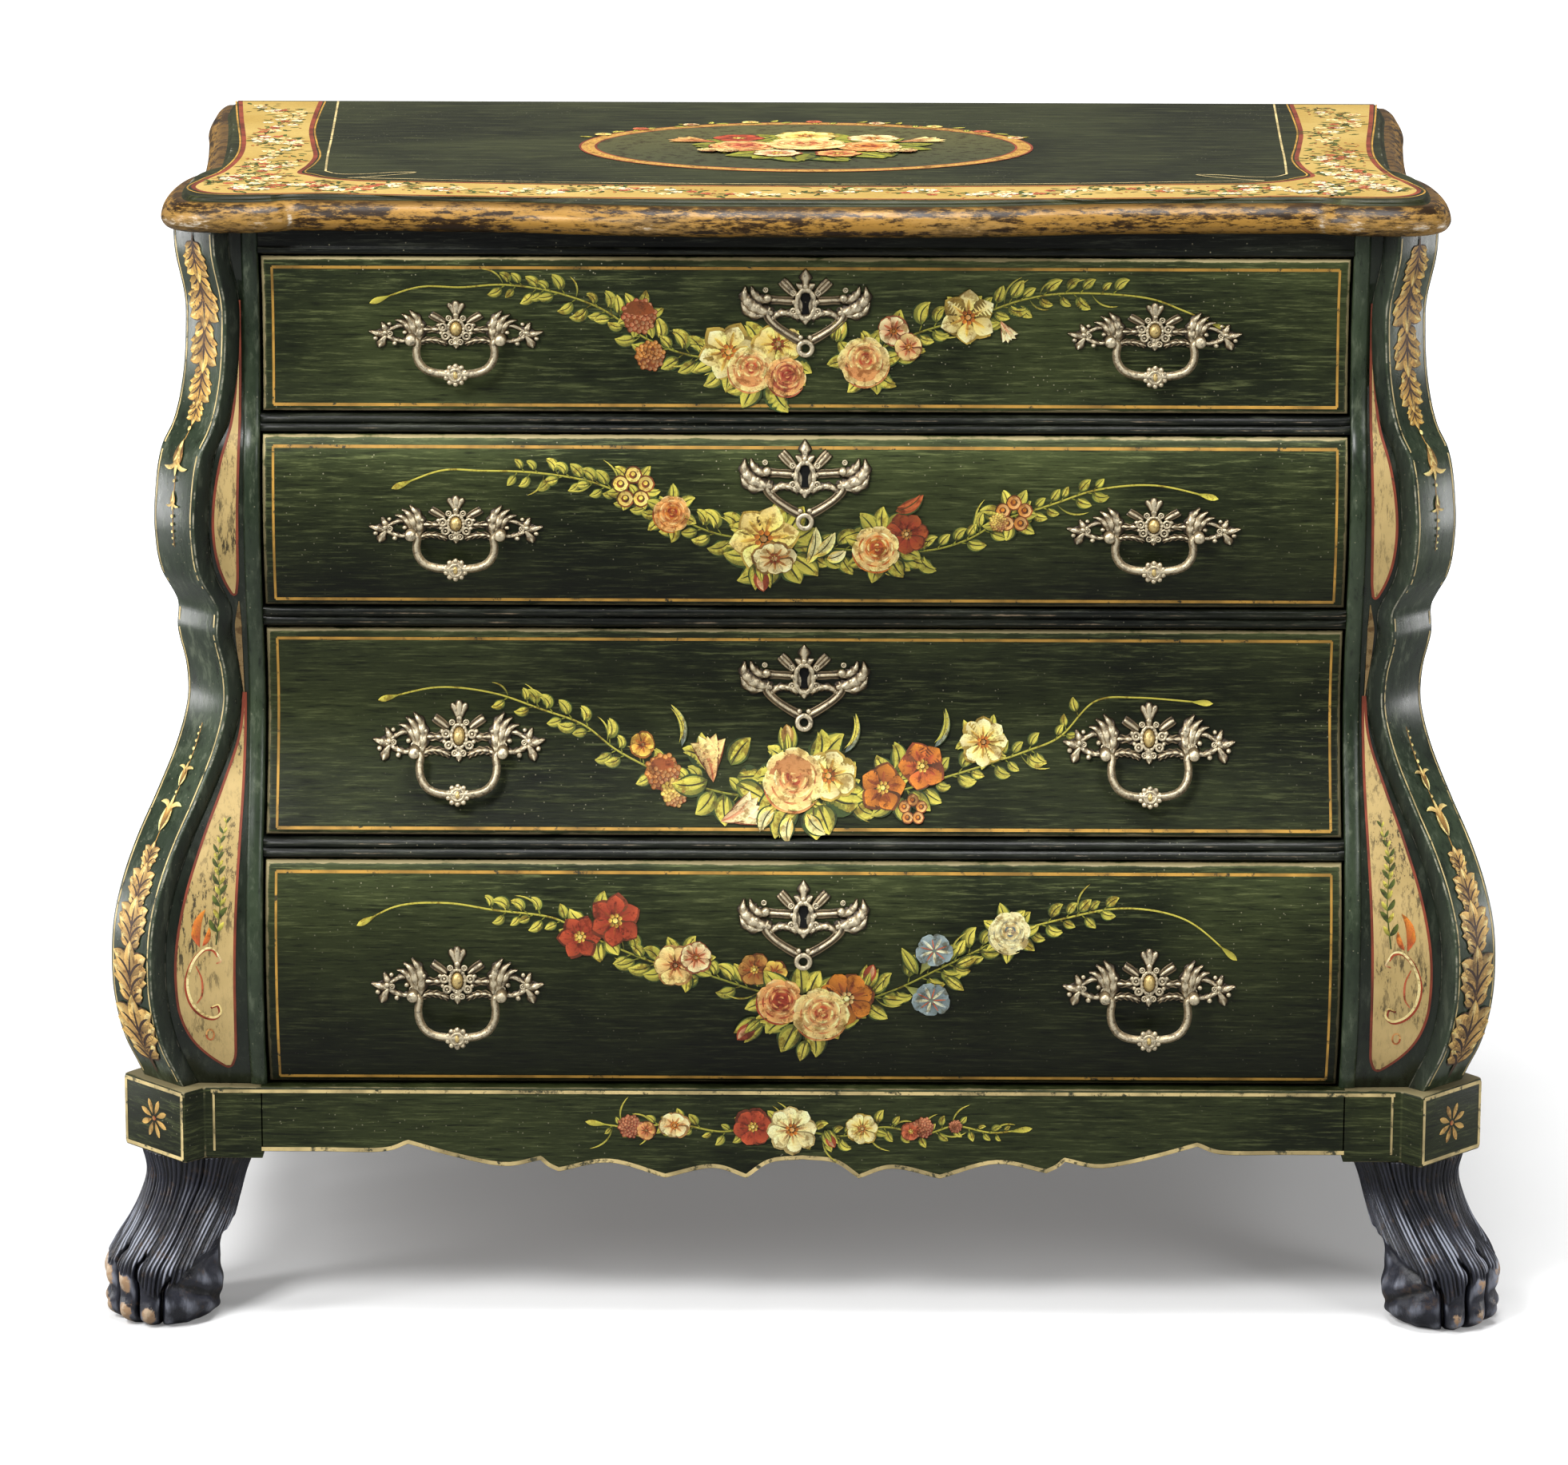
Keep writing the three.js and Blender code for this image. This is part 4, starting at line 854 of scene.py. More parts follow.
def plinth():
    shell = Shell()
    rear_front = CASE_DEPTH - REAR_BLOCK
    apron(shell, BLOCK_INNER + 1, lambda along, depth, z: stacked(along, APRON_FRONT + depth, z))
    middle = (FRONT_BLOCK_BACK + rear_front) / 2
    half = (rear_front - FRONT_BLOCK_BACK) / 2 + 1
    for side in SIDES.values():
        apron(shell, half, lambda along, depth, z: stacked(side * (APRON_SIDE - depth), middle + along, z))
        block_over_foot(shell, side)
        near, far = sorted((side * BLOCK_INNER, side * APRON_SIDE))
        shell.block((near, rear_front, FOOT_TOP), (far, CASE_DEPTH, PLINTH_TOP))
    shell.block((-BLOCK_INNER, CASE_DEPTH - BACK_THICKNESS, REAR_RAIL_LOW),
                (BLOCK_INNER, CASE_DEPTH, PLINTH_TOP - BOTTOM_BOARD))
    return shell.made("scrolled_plinth", [CASE_GREEN], "plinth", sharp=50)


# Feet

PAW_REACH = 36
PAW_RADIUS = 46.6
PAW_ROWS = 116
PAW_COLUMNS = 600
PAW_SHARES = ((0, 0.97, 0.84), (0.05, 0.98, 0.95), (0.12, 1, 1), (0.2, 1, 0.995), (0.3, 0.99, 0.985),
              (0.38, 0.95, 0.97), (0.46, 0.78, 0.93), (0.58, 0.5, 0.86), (0.72, 0.24, 0.82),
              (0.86, 0.07, 0.83), (1, 0, 0.95))
# Place of the ankle, heading, sign of the inner side and how bare the toes are rubbed
FEET = {
    "front_left_foot": (-451, -5.7, -135, 1, 1.2), "front_right_foot": (451, -5.7, -45, -1, 0.7),
    "rear_left_foot": (-437, 460, 180, -1, 0.7), "rear_right_foot": (437, 460, 0, 1, 0.7)}
# Where the fur ends: degrees from the heading towards the inner side, and height
FRINGE = ((-180, 44), (-120, 47), (-70, 52), (-40, 46), (-10, 42), (20, 36), (42, 24), (58, 32), (80, 48),
          (108, 62), (138, 68), (160, 56), (180, 44))
# Slits between the toes: degrees from the heading towards the inner side, and height of the upper end
SLITS = ((-66, 54), (-38, 63), (-11, 60), (17, 55), (44, 40))


def paw_foot(name, ankle_x, ankle_y, heading, inner, rubbed):
    """A radius for each angle and height. Fur sweeps from the ankle over the paw. Below it stand toes with
    knuckles and claws between deep slits, and a smooth pad fills the inner side."""
    height = FOOT_TOP - GAP
    z = height * np.linspace(0, 1, PAW_ROWS)[:, None]
    turn = np.radians(evenly(PAW_COLUMNS, -180))[None]
    shares = np.array(PAW_SHARES)
    section = smooth_curve(shares[:, 0], shares[:, 1:])(z[:, 0] / height)
    reach = PAW_REACH * section[:, :1]
    base = PAW_RADIUS * section[:, 1:]
    aim = np.degrees(turn) * inner
    seed = sum(map(ord, name))
    ends, tops = np.array(FRINGE, float).T
    ragged = 1.6 * np.abs(np.sin(13 * turn + seed)) + 1.2 * np.sin(29 * turn + 2 * seed)
    seam = smooth_curve(ends, tops)(aim) + ragged
    furred = past(z - seam, 0.7)
    sweep = 0.0052 * np.clip(100 - z, 0, 70) * np.sin(turn)
    sway = 0.012 * np.sin(z / 9 + 5 * turn) + 0.02 * np.sin(z / 21 + 2 * turn + seed)
    strand = turn + sweep + sway
    fine = 1 - np.abs(np.sin(33 * strand)) ** 0.8
    lock = 1 - np.abs(np.sin(9 * strand + 0.8)) ** 0.25
    groove = np.clip(0.8 * fine + 0.9 * lock, 0, 1.4)
    slit = near = 0 * z * turn
    for place, top in SLITS:
        away = aim - place - 9 * hump(z - top, 7) - 4 * np.sin(z / 15)
        open_below = past(top - z, 1.5)
        slit = np.maximum(slit, hump(away, 1.9) * open_below)
        near = np.maximum(near, hump(away, 9) * open_below)
    toed = past(62 - np.abs(aim + 11), 3)
    knuckle = hump(z - 37, 9) - 0.9 * hump(z - 23, 6) + 0.8 * hump(z - 10, 7)
    toes = (3 * knuckle * (1 - near) - 3.4 * near) * toed
    fold = hump(z - 26 + 0.32 * (aim - 90), 4.5) + 0.7 * hump(z - 47 - 0.3 * (aim - 90), 3.5)
    lump = np.sin(aim / 7 + z / 5) * np.sin(z / 8 - aim / 11)
    pad = (1 - toed) * (-4 + 3.6 * hump(z - 22, 20) - 2.4 * fold + 1.1 * lump)
    under = np.where(z < 7, -0.07 * (7 - z) ** 2, 0)
    carved = (1 - furred) * (toes + pad - 2.2) - furred * (groove * 2.4 + near * 2.2) - slit * 5.5
    radius = np.minimum(base - 0.4 + carved + under, base)
    aim_at = math.radians(heading)
    x = ankle_x + reach * math.cos(aim_at) + radius * np.cos(turn + aim_at)
    y = ankle_y + reach * math.sin(aim_at) + radius * np.sin(turn + aim_at)
    # Painted light in the wear value: a painted sheen on the fur ridges, strongest in a band at mid height
    # and in patches, a lighter sheen on the toes, and painted shade in the grooves, slits and folds
    shine = 0.5 + 0.5 * hump(z - 62, 26)
    sheen_catch = 0.8 + 0.3 * np.sin(z / 13 + 7 * turn + seed) * np.sin(z / 23 - 4 * turn)
    painted_light = furred * np.clip(1.1 - 1.5 * groove, 0, 1) * shine * sheen_catch
    painted_light = painted_light + (1 - furred) * np.clip(0.55 + 0.35 * knuckle * (1 - near) * toed + 0.15 * lump, 0, 1)
    painted_light = np.clip(painted_light - slit - 0.5 * (1 - furred) * (1 - toed) * fold, 0, 1)
    bare = (1 - furred) * toed * (1 - near) * np.clip(0.45 + 0.3 * knuckle, 0, 1) * rubbed
    shell = Shell()
    shell.grid(stacked(x, y, z), around=True, caps=True, wear=painted_light, tint=grey(bare))
    return shell.made(f"carved_{name}", [FOOT_PAINT], name, slot="foot_paint")


# Cast brass

PULL_ACROSS = 254
PULL_DROPS = {4: 87, 3: 81, 2: 63.5, 1: 53.5}
KEYHOLE_DROPS = {4: 39, 3: 38, 2: 28.5, 1: 34.5}
POST_SPACING = 65
PIVOT_DROPS = {4: 10, 3: 10, 2: 7, 1: 7}
PLATE_SCALE = {4: 1, 3: 1, 2: 0.8, 1: 0.8}
PIVOT_STANDOFF = 10
BAIL_DROPS = {4: 31.3, 3: 31.3, 2: 25, 1: 25}
BAIL_WIRE = 2.5
LUMP_BULK = 1.2
BLADE_BULK = 1.4
BLADE_ACROSS = np.array([-1, -0.96, -0.8, -0.6, -0.4, -0.2, 0, 0.2, 0.4, 0.6, 0.8, 0.96, 1])
CURL_OUT = 1.9

# Blades: points (across, rise, lift), half widths along them, bulk, lengthwise ribs and lobes along the edge
PULL_BLADES = (
    (((0, 8, 0), (0, 17, 0.5), (0, 25.8, 0.5)), (2.6, 2, 2.9, 1.4), 2.4, 1, 0),
    (((1, 13, 0), (3.4, 19.5, 0.4), (5.4, 23.6, 0.4)), (1.4, 1.7, 2.1, 0.9), 2.1, 1, 0),
    (((7.5, 5, 0), (12.5, 9, 0.6), (18.6, 13.2, 0.6)), (1.7, 2.2, 2.5, 2.4), 2.1, 2, 0),
    (((8, -0.6, 0), (17, -0.8, 0.3), (28, -0.6, 0)), (1.9, 2.5, 2, 2.6), 2.2, 2, 3),
    (((28, -12, 0), (26.6, -2, 0.6), (28.4, 9, 0.8), (33.6, 17, 0.8)), (2.4, 3.2, 3.4, 2.4, 0.5), 3, 1, 4),
    (((30, -10, 0), (31, 0, 1), (34, 9, 1.4), (39.5, 13.6, 1)), (2.2, 2.9, 3, 1.9, 0.4), 3.2, 1, 3),
    (((31, -8, 0), (34.6, 1, 1), (39, 6.5, 1.2), (44.5, 8, 0.6)), (2, 2.4, 2.2, 1.4, 0.4), 2.6, 1, 3),
    (((34, 2, 0), (41, 2.6, 0.3), (48, -1, 0.3), (52, -4, 0.2)), (1.3, 1.7, 1.5, 1.3), 2, 1, 3),
    (((31, -9, 0), (39, -11.5, 0.3), (46, -9.5, 0.3), (52, -5.5, 0.2)), (2, 1.7, 1.9, 1.4), 2.2, 1, 4),
    (((50, -5, 0), (51.4, 0, 0.5), (54, 6, 0.4)), (1.5, 2.7, 2.2, 0.5), 2.5, 1, 2),
    (((50.5, -5, 0), (56.5, -4.6, 0.5), (63.5, -2.4, 0.3)), (1.6, 2.8, 2.2, 0.5), 2.5, 1, 2),
    (((50.5, -6, 0), (53.5, -11, 0.5), (56, -17.6, 0.4)), (1.3, 2.2, 3, 0.9), 2.5, 1, 1),
    (((28.5, -14.5, 0), (22, -10.6, 0.5), (13.5, -10.8, 0.5), (6, -14.2, 0.3)), (2, 2, 2, 1.7), 2.2, 2, 5),
    (((0, -8, 0), (0, -13, 0.3), (0, -18.4, 0.2)), (3, 3.6, 0.8), 2.8, 1, 2))
PULL_CURLS = ((9.6, 1.4, 2.5), (7.6, -6.6, 2.4), (3.2, -12.2, 1.8), (5.2, 9.6, 1.7), (33.4, -6.5, 1.5),
              (48, -4.6, 1.6))
PULL_LUMPS = ((0, 12.8, 1.9), (12.6, 3.4, 1.5), (10.8, -4, 1.4), (44.5, -13.4, 1.7), (51.5, -3.5, 1.9),
              (58.5, -8.8, 1.6), (48.4, 4.4, 1.4), (24.6, 3.4, 1.4), (37.2, -3.4, 1.6))
ESCUTCHEON_BLADES = (
    (((0, 8, 0), (0, 16, 0.4), (0, 20, 0.5), (0, 26.6, 0.3)), (3, 2.2, 3.6, 0.4), 2.6, 1, 0),
    (((1.5, 9.5, 0), (4, 13, 0.4), (7, 15.2, 0.3)), (1.6, 2.2, 0.7), 2.2, 1, 0),
    (((6.5, 5.5, 0), (12, 11.5, 0.5), (17.6, 17.4, 0.5)), (1.9, 2.6, 3, 2.8), 2.2, 3, 0),
    (((8, 2, 0), (16.5, 2.6, 0.4), (26, 3, 0)), (2.2, 2.4, 2.2, 2.6), 2.3, 2, 0),
    (((23, -7, 0), (31, -5.4, 0.8), (39, -1.6, 1.2), (44, 5, 1), (43.6, 13.4, 0.6)),
     (2, 3.4, 4.2, 3.2, 0.5), 3.2, 1, 5),
    (((26, 2, 0), (32.5, 3.4, 0.7), (37.4, 7.4, 0.8), (39.4, 13.4, 0.4)), (2, 2.8, 2.4, 0.5), 2.6, 1, 3),
    (((29, -8.5, 0), (37, -8.4, 0.7), (43.4, -4.6, 0.8), (46.8, 2, 0.4)), (1.4, 2.6, 2.3, 0.5), 2.6, 1, 3),
    (((25.6, -2, 0), (27.4, -8.5, 0.6), (22, -15.6, 0.6), (12, -22.6, 0.6), (2.5, -27.8, 0.5)),
     (2, 2.6, 2.3, 2.4, 2.7), 2.6, 2, 0),
    (((25, -11.5, 0), (18.6, -7, 0.4), (10.5, -7.4, 0.4), (4, -11, 0.4)), (1.5, 2.2, 2.1, 2.1), 2.3, 1, 5),
    (((0, -8.6, 0), (0, -11.6, 0.4), (0, -15.4, 0.3)), (3.4, 3.3, 0.7), 2.6, 1, 0))
ESCUTCHEON_CURLS = ((8.8, -5.6, 2.1), (9, 8.2, 1.7), (29, 10.5, 1.5))
ESCUTCHEON_LUMPS = ((0, 13.4, 1.8), (27.6, 4.2, 2.7), (3.4, -24.4, 1.6), (34.6, -1.8, 1.7), (8.4, 1.6, 1.6))
BAIL_SHARES = ((32, 0), (28.6, 0.02), (27.6, 0.12), (28.4, 0.34), (27.2, 0.6), (22.4, 0.84), (13.5, 0.97),
               (0, 1))
KEYHOLE = ((0.4, 8.2), (2.4, 7.5), (3.7, 5.6), (3.8, 3.4), (2.5, 0.8), (2.2, -2), (2.8, -7.4), (0.4, -7.9))


def sphere(rows, columns):
    """A grid on a ball of radius one, from its back to its front."""
    fall = np.linspace(-np.pi / 2, np.pi / 2, rows)[:, None]
    turn = np.radians(evenly(columns))
    return stacked(np.cos(fall) * np.cos(turn), np.cos(fall) * np.sin(turn), np.sin(fall))


class Casting:
    """Blades, rods and lumps of cast brass. Points are (across, rise, out) in millimetres about a centre,
    the rise is scaled, and place carries them to the case. What faces out counts as rubbed."""

    def __init__(self, place, tall=1):
        self.shell = Shell()
        self.place = place
        self.tall = tall

    def add(self, points, wear, mirror=False, **rest):
        for sign in (1, -1)[: 1 + mirror]:
            self.shell.grid(self.place(points * (sign, self.tall, 1)), wear=wear, **rest)

    def blade(self, points, widths, bulk, ribs, lobes):
        """A ridged leaf along a bent middle line. Its half width is given along it and swells with each
        lobe. Its height falls off to the edges, with lengthwise ribs and slanting furrows at the lobes."""
        path = smooth_path(points, 26)
        share = np.linspace(0, 1, len(path))
        half = smooth_curve(np.linspace(0, 1, len(widths)), widths)(share)
        half = half * BLADE_BULK * (1 + 0.17 * np.cos(2 * np.pi * lobes * share) * (lobes > 0))
        inside = np.abs(BLADE_ACROSS) < 1
        relief = 0.72 + 0.28 * np.cos(ribs * np.pi * BLADE_ACROSS)
        slant = lobes * share[:, None] - 0.8 * np.abs(BLADE_ACROSS)
        furrow = 1 + 0.26 * np.cos(2 * np.pi * slant) * (lobes > 0)
        height = bulk * relief * furrow * np.sqrt(1 - 0.82 * BLADE_ACROSS**2) * inside
        height = height * np.sqrt(np.clip(1.04 - np.abs(2 * share - 1) ** 10, 0.1, 1))[:, None]
        out = path[:, 2:] * (0.3 + 0.7 * inside) + height
        flat = swept(path[:, :2], half, -BLADE_ACROSS)
        wear = np.clip(1.5 * height / bulk - 0.3, 0, 1)
        self.add(np.concatenate([flat, out[..., None]], axis=-1), wear, mirror=abs(path[:, 0]).max() > 0.01)

    def rod(self, path, radius, ribs=0, closed=False, ripples=0):
        """A bent rod of a given radius, which swells with each ripple. An open one closes at its ends."""
        share = np.linspace(0, 1, len(path))
        radius = radius * (1 + 0.2 * np.cos(2 * np.pi * ripples * share) * (ripples > 0))
        along = np.gradient(path, axis=0)
        if closed:
            along[0] = along[-1] = path[1] - path[-2]
        else:
            radius = radius * np.sqrt(np.clip(1.02 - np.abs(2 * share - 1) ** 12, 0.02, 1))
        aside = unit(np.cross(along, (0, 0, 1)))
        up = np.cross(aside, unit(along))
        turn = np.radians(evenly(12))[:, None]
        rib = np.cos(ribs * turn[:, 0]) * (ribs > 0)
        swollen = radius[:, None, None] * (1 + 0.16 * rib[:, None])
        ring = path[:, None] + swollen * (np.cos(turn) * aside[:, None] + np.sin(turn) * up[:, None])
        facing = 0.5 + 0.5 * np.sin(turn[:, 0]) * np.sign(up[:, 2:])
        self.add(ring, np.clip(facing + 0.25 * rib, 0, 1), caps=not closed, around=True)

    def lumps(self, rows, out=1.8, mirror=True):
        """Small balls at (across, rise, radius), mirrored where they stand off the middle."""
        rows = np.array(rows, float)
        if mirror:
            rows = np.vstack([rows, rows[rows[:, 0] != 0] * (-1, 1, 1)])
        ball = sphere(8, 10)
        centre = np.c_[rows[:, :2], np.full(len(rows), out)]
        points = centre[:, None, None] + ball * (1, 1, 0.95) * rows[:, None, None, 2:] * LUMP_BULK
        self.add(points, 0.5 + 0.5 * ball[..., 2], around=True)

    def ball(self, centre, radii, rows=14, columns=24, slot=0):
        ball = sphere(rows, columns)
        self.add(centre + ball * radii, 0.35 + 0.65 * np.clip(ball[..., 2], 0, 1), slot=slot, around=True)

    def ring(self, centre, semi, radius, count=40, ripples=0):
        """A closed rod round an ellipse."""
        flat = centre[:2] + turned(np.linspace(0, 360, count)) * semi
        self.rod(np.c_[flat, np.full(count, centre[2])], radius, closed=True, ripples=ripples)

    def curls(self, rows):
        """Little rings with a pearl inside, as (across, rise, radius), on both sides."""
        for across, rise, radius in rows:
            for side in SIDES.values():
                self.ring((side * across, rise, CURL_OUT), (radius, radius / self.tall), radius * 0.42, 18)
        self.lumps([(across, rise, radius * 0.4) for across, rise, radius in rows], CURL_OUT)

    def stud(self, across, rise, length, radius):
        """A round post that stands out from the surface and ends in a low dome."""
        out = np.array([0.1, 0.15 * length, length - radius * 0.6, length - radius * 0.25, length])
        wide = radius * np.array([1.25, 1, 1, 0.8, 0.15])
        flat = (across, rise / self.tall) + turned(evenly(16)) * wide[:, None, None] / (1, self.tall)
        wear = np.array([0.1, 0.3, 0.6, 0.9, 1])[:, None]
        self.add(stacked(flat[..., 0], flat[..., 1], out[:, None]), wear, caps=True, around=True)


def on_front(centre_x, centre_z):
    """Carries points about a place on the swelling front, with out measured from its face."""

    def place(points):
        z = centre_z + points[..., 1]
        return stacked(centre_x + points[..., 0], -swell(z) - points[..., 2], z)

    return place


def hanging(pivot, lean):
    """Carries points that hang from a pivot and lean out by an angle."""

    def place(points):
        y = pivot[1] + points[..., 1] * math.sin(lean) - points[..., 2] * math.cos(lean)
        z = pivot[2] + points[..., 1] * math.cos(lean) + points[..., 2] * math.sin(lean)
        return stacked(pivot[0] + points[..., 0], y, z)

    return place


def pull_plate(number, name, side):
    """Pierced rococo scrollwork round a gilt boss, with two studs for the bail."""
    _, top = drawer_span(number)
    casting = Casting(on_front(side * PULL_ACROSS, top - PULL_DROPS[number]), PLATE_SCALE[number])
    for blade in PULL_BLADES:
        casting.blade(*blade)
    casting.curls(PULL_CURLS)
    casting.lumps(PULL_LUMPS)
    casting.ball((0, 0, 1.6), (4.3, 6.6, 4.6), slot=1)
    casting.ring((0, 0, 1.6), (5.6, 8.2), 1.3, 60, 16)
    for end in SIDES.values():
        casting.stud(end * POST_SPACING / 2, -PIVOT_DROPS[number], PIVOT_STANDOFF + 4.6, 4.2)
    return casting.shell.made(f"pierced_{name}_pull_{number}", [BRASS, BOSS_GOLD],
                              f"drawer_{number}_{name}_pull_plate", f"drawer_{number}", "aged_brass")


def bail(number, name, side):
    """A ribbed wire that hangs between the studs, with a cartouche at its lowest point."""
    _, top = drawer_span(number)
    drop = BAIL_DROPS[number]
    z = top - PULL_DROPS[number] - PIVOT_DROPS[number]
    outward = swell(np.array([z - drop, z]))
    lean = max(0, math.atan2(outward[0] - outward[1], drop))
    casting = Casting(hanging((side * PULL_ACROSS, -outward[1] - PIVOT_STANDOFF, z), lean))
    half = np.array([(across, -share * drop, 0) for across, share in BAIL_SHARES])
    whole = np.vstack([half, half[-2::-1] * (-1, 1, 1)])
    ends = np.interp(np.linspace(-1, 1, 88), (-1, -0.88, 0, 0.88, 1), (0.72, 0.95, 1.1, 0.95, 0.72))
    casting.rod(smooth_path(whole, 88), BAIL_WIRE * ends, ribs=4)
    rise = -drop - 0.4
    casting.ball((0, rise, 0), (8, 7.4, 2.5))
    pearls = (0, rise) + turned(evenly(10, 90)) * (7.2, 6.6)
    casting.lumps(np.c_[pearls, np.full(10, 1.7)], 0.5, mirror=False)
    casting.ring((0, rise, 2), (4.4, 4.2), 0.9, 28)
    casting.ball((0, rise, 2), (1.9, 3.1, 1.6), 8, 12, 1)
    return casting.shell.made(f"hanging_{name}_bail_{number}", [BRASS, BOSS_GOLD],
                              f"drawer_{number}_{name}_bail", f"{name}_bail_{number}", "aged_brass")


def escutcheon(number):
    """Scrollwork round the keyhole, closing below in a heart-shaped band and a small ring."""
    _, top = drawer_span(number)
    casting = Casting(on_front(0, top - KEYHOLE_DROPS[number]))
    for blade in ESCUTCHEON_BLADES:
        casting.blade(*blade)
    casting.curls(ESCUTCHEON_CURLS)
    casting.lumps(ESCUTCHEON_LUMPS)
    casting.ring((0, 0, 1.6), (6.6, 10.8), 1.8, 48, 10)
    casting.ball((0, 0, -0.5), (6.6, 10.8, 1))
    casting.ring((0, -32.6, 1.8), (4.9, 4.9), 1.9, 32)
    # Painted shade: a flat dark sheet in the shape of the keyhole stands for the shade inside the hole
    half = np.array(KEYHOLE)
    hole = stacked(half[:, :1] * np.linspace(-1, 1, 5), half[:, 1:], 0.75)
    casting.add(hole, 0, slot=1)
    return casting.shell.made(f"pierced_escutcheon_{number}", [BRASS, KEYHOLE_PAINTED_SHADE],
                              f"drawer_{number}_escutcheon", f"drawer_{number}", "aged_brass")


top_board()
top_rail()
plinth()
for number in DIVIDERS:
    divider(number)
for name, row in FEET.items():
    paw_foot(name, *row)
for number in DRAWERS:
    escutcheon(number)
    for name, side in SIDES.items():
        pull_plate(number, name, side)
        bail(number, name, side)


# Painted ornament

LEAF_DARK = (0.035, 0.06, 0.012)
LEAF_GREEN = (0.1, 0.125, 0.016)
LEAF_OLIVE = (0.3, 0.3, 0.03)
LEAF_YELLOW = (0.72, 0.63, 0.1)
CREAM = (0.94, 0.74, 0.29)
IVORY = (0.95, 0.86, 0.46)
WHITE = (0.88, 0.86, 0.76)
BUTTER = (0.9, 0.64, 0.11)
PEACH = (0.84, 0.46, 0.15)
PINK = (0.6, 0.17, 0.075)
CORAL = (0.48, 0.08, 0.028)
CRIMSON = (0.27, 0.025, 0.012)
ORANGE = (0.66, 0.23, 0.022)
RUST = (0.3, 0.07, 0.015)
UMBER = (0.07, 0.035, 0.01)
OCHRE = (0.5, 0.27, 0.06)
SKY = (0.4, 0.5, 0.52)
SLATE = (0.12, 0.17, 0.18)
STROKE_ROWS = 9
STROKE_COLUMNS = 3
LIFT_FIRST = 0.12
LIFT_GROUP = 0.012
LIFT_NEXT = 0.004
FLORETS = 46
SUNFLOWER_TURN = 137.5


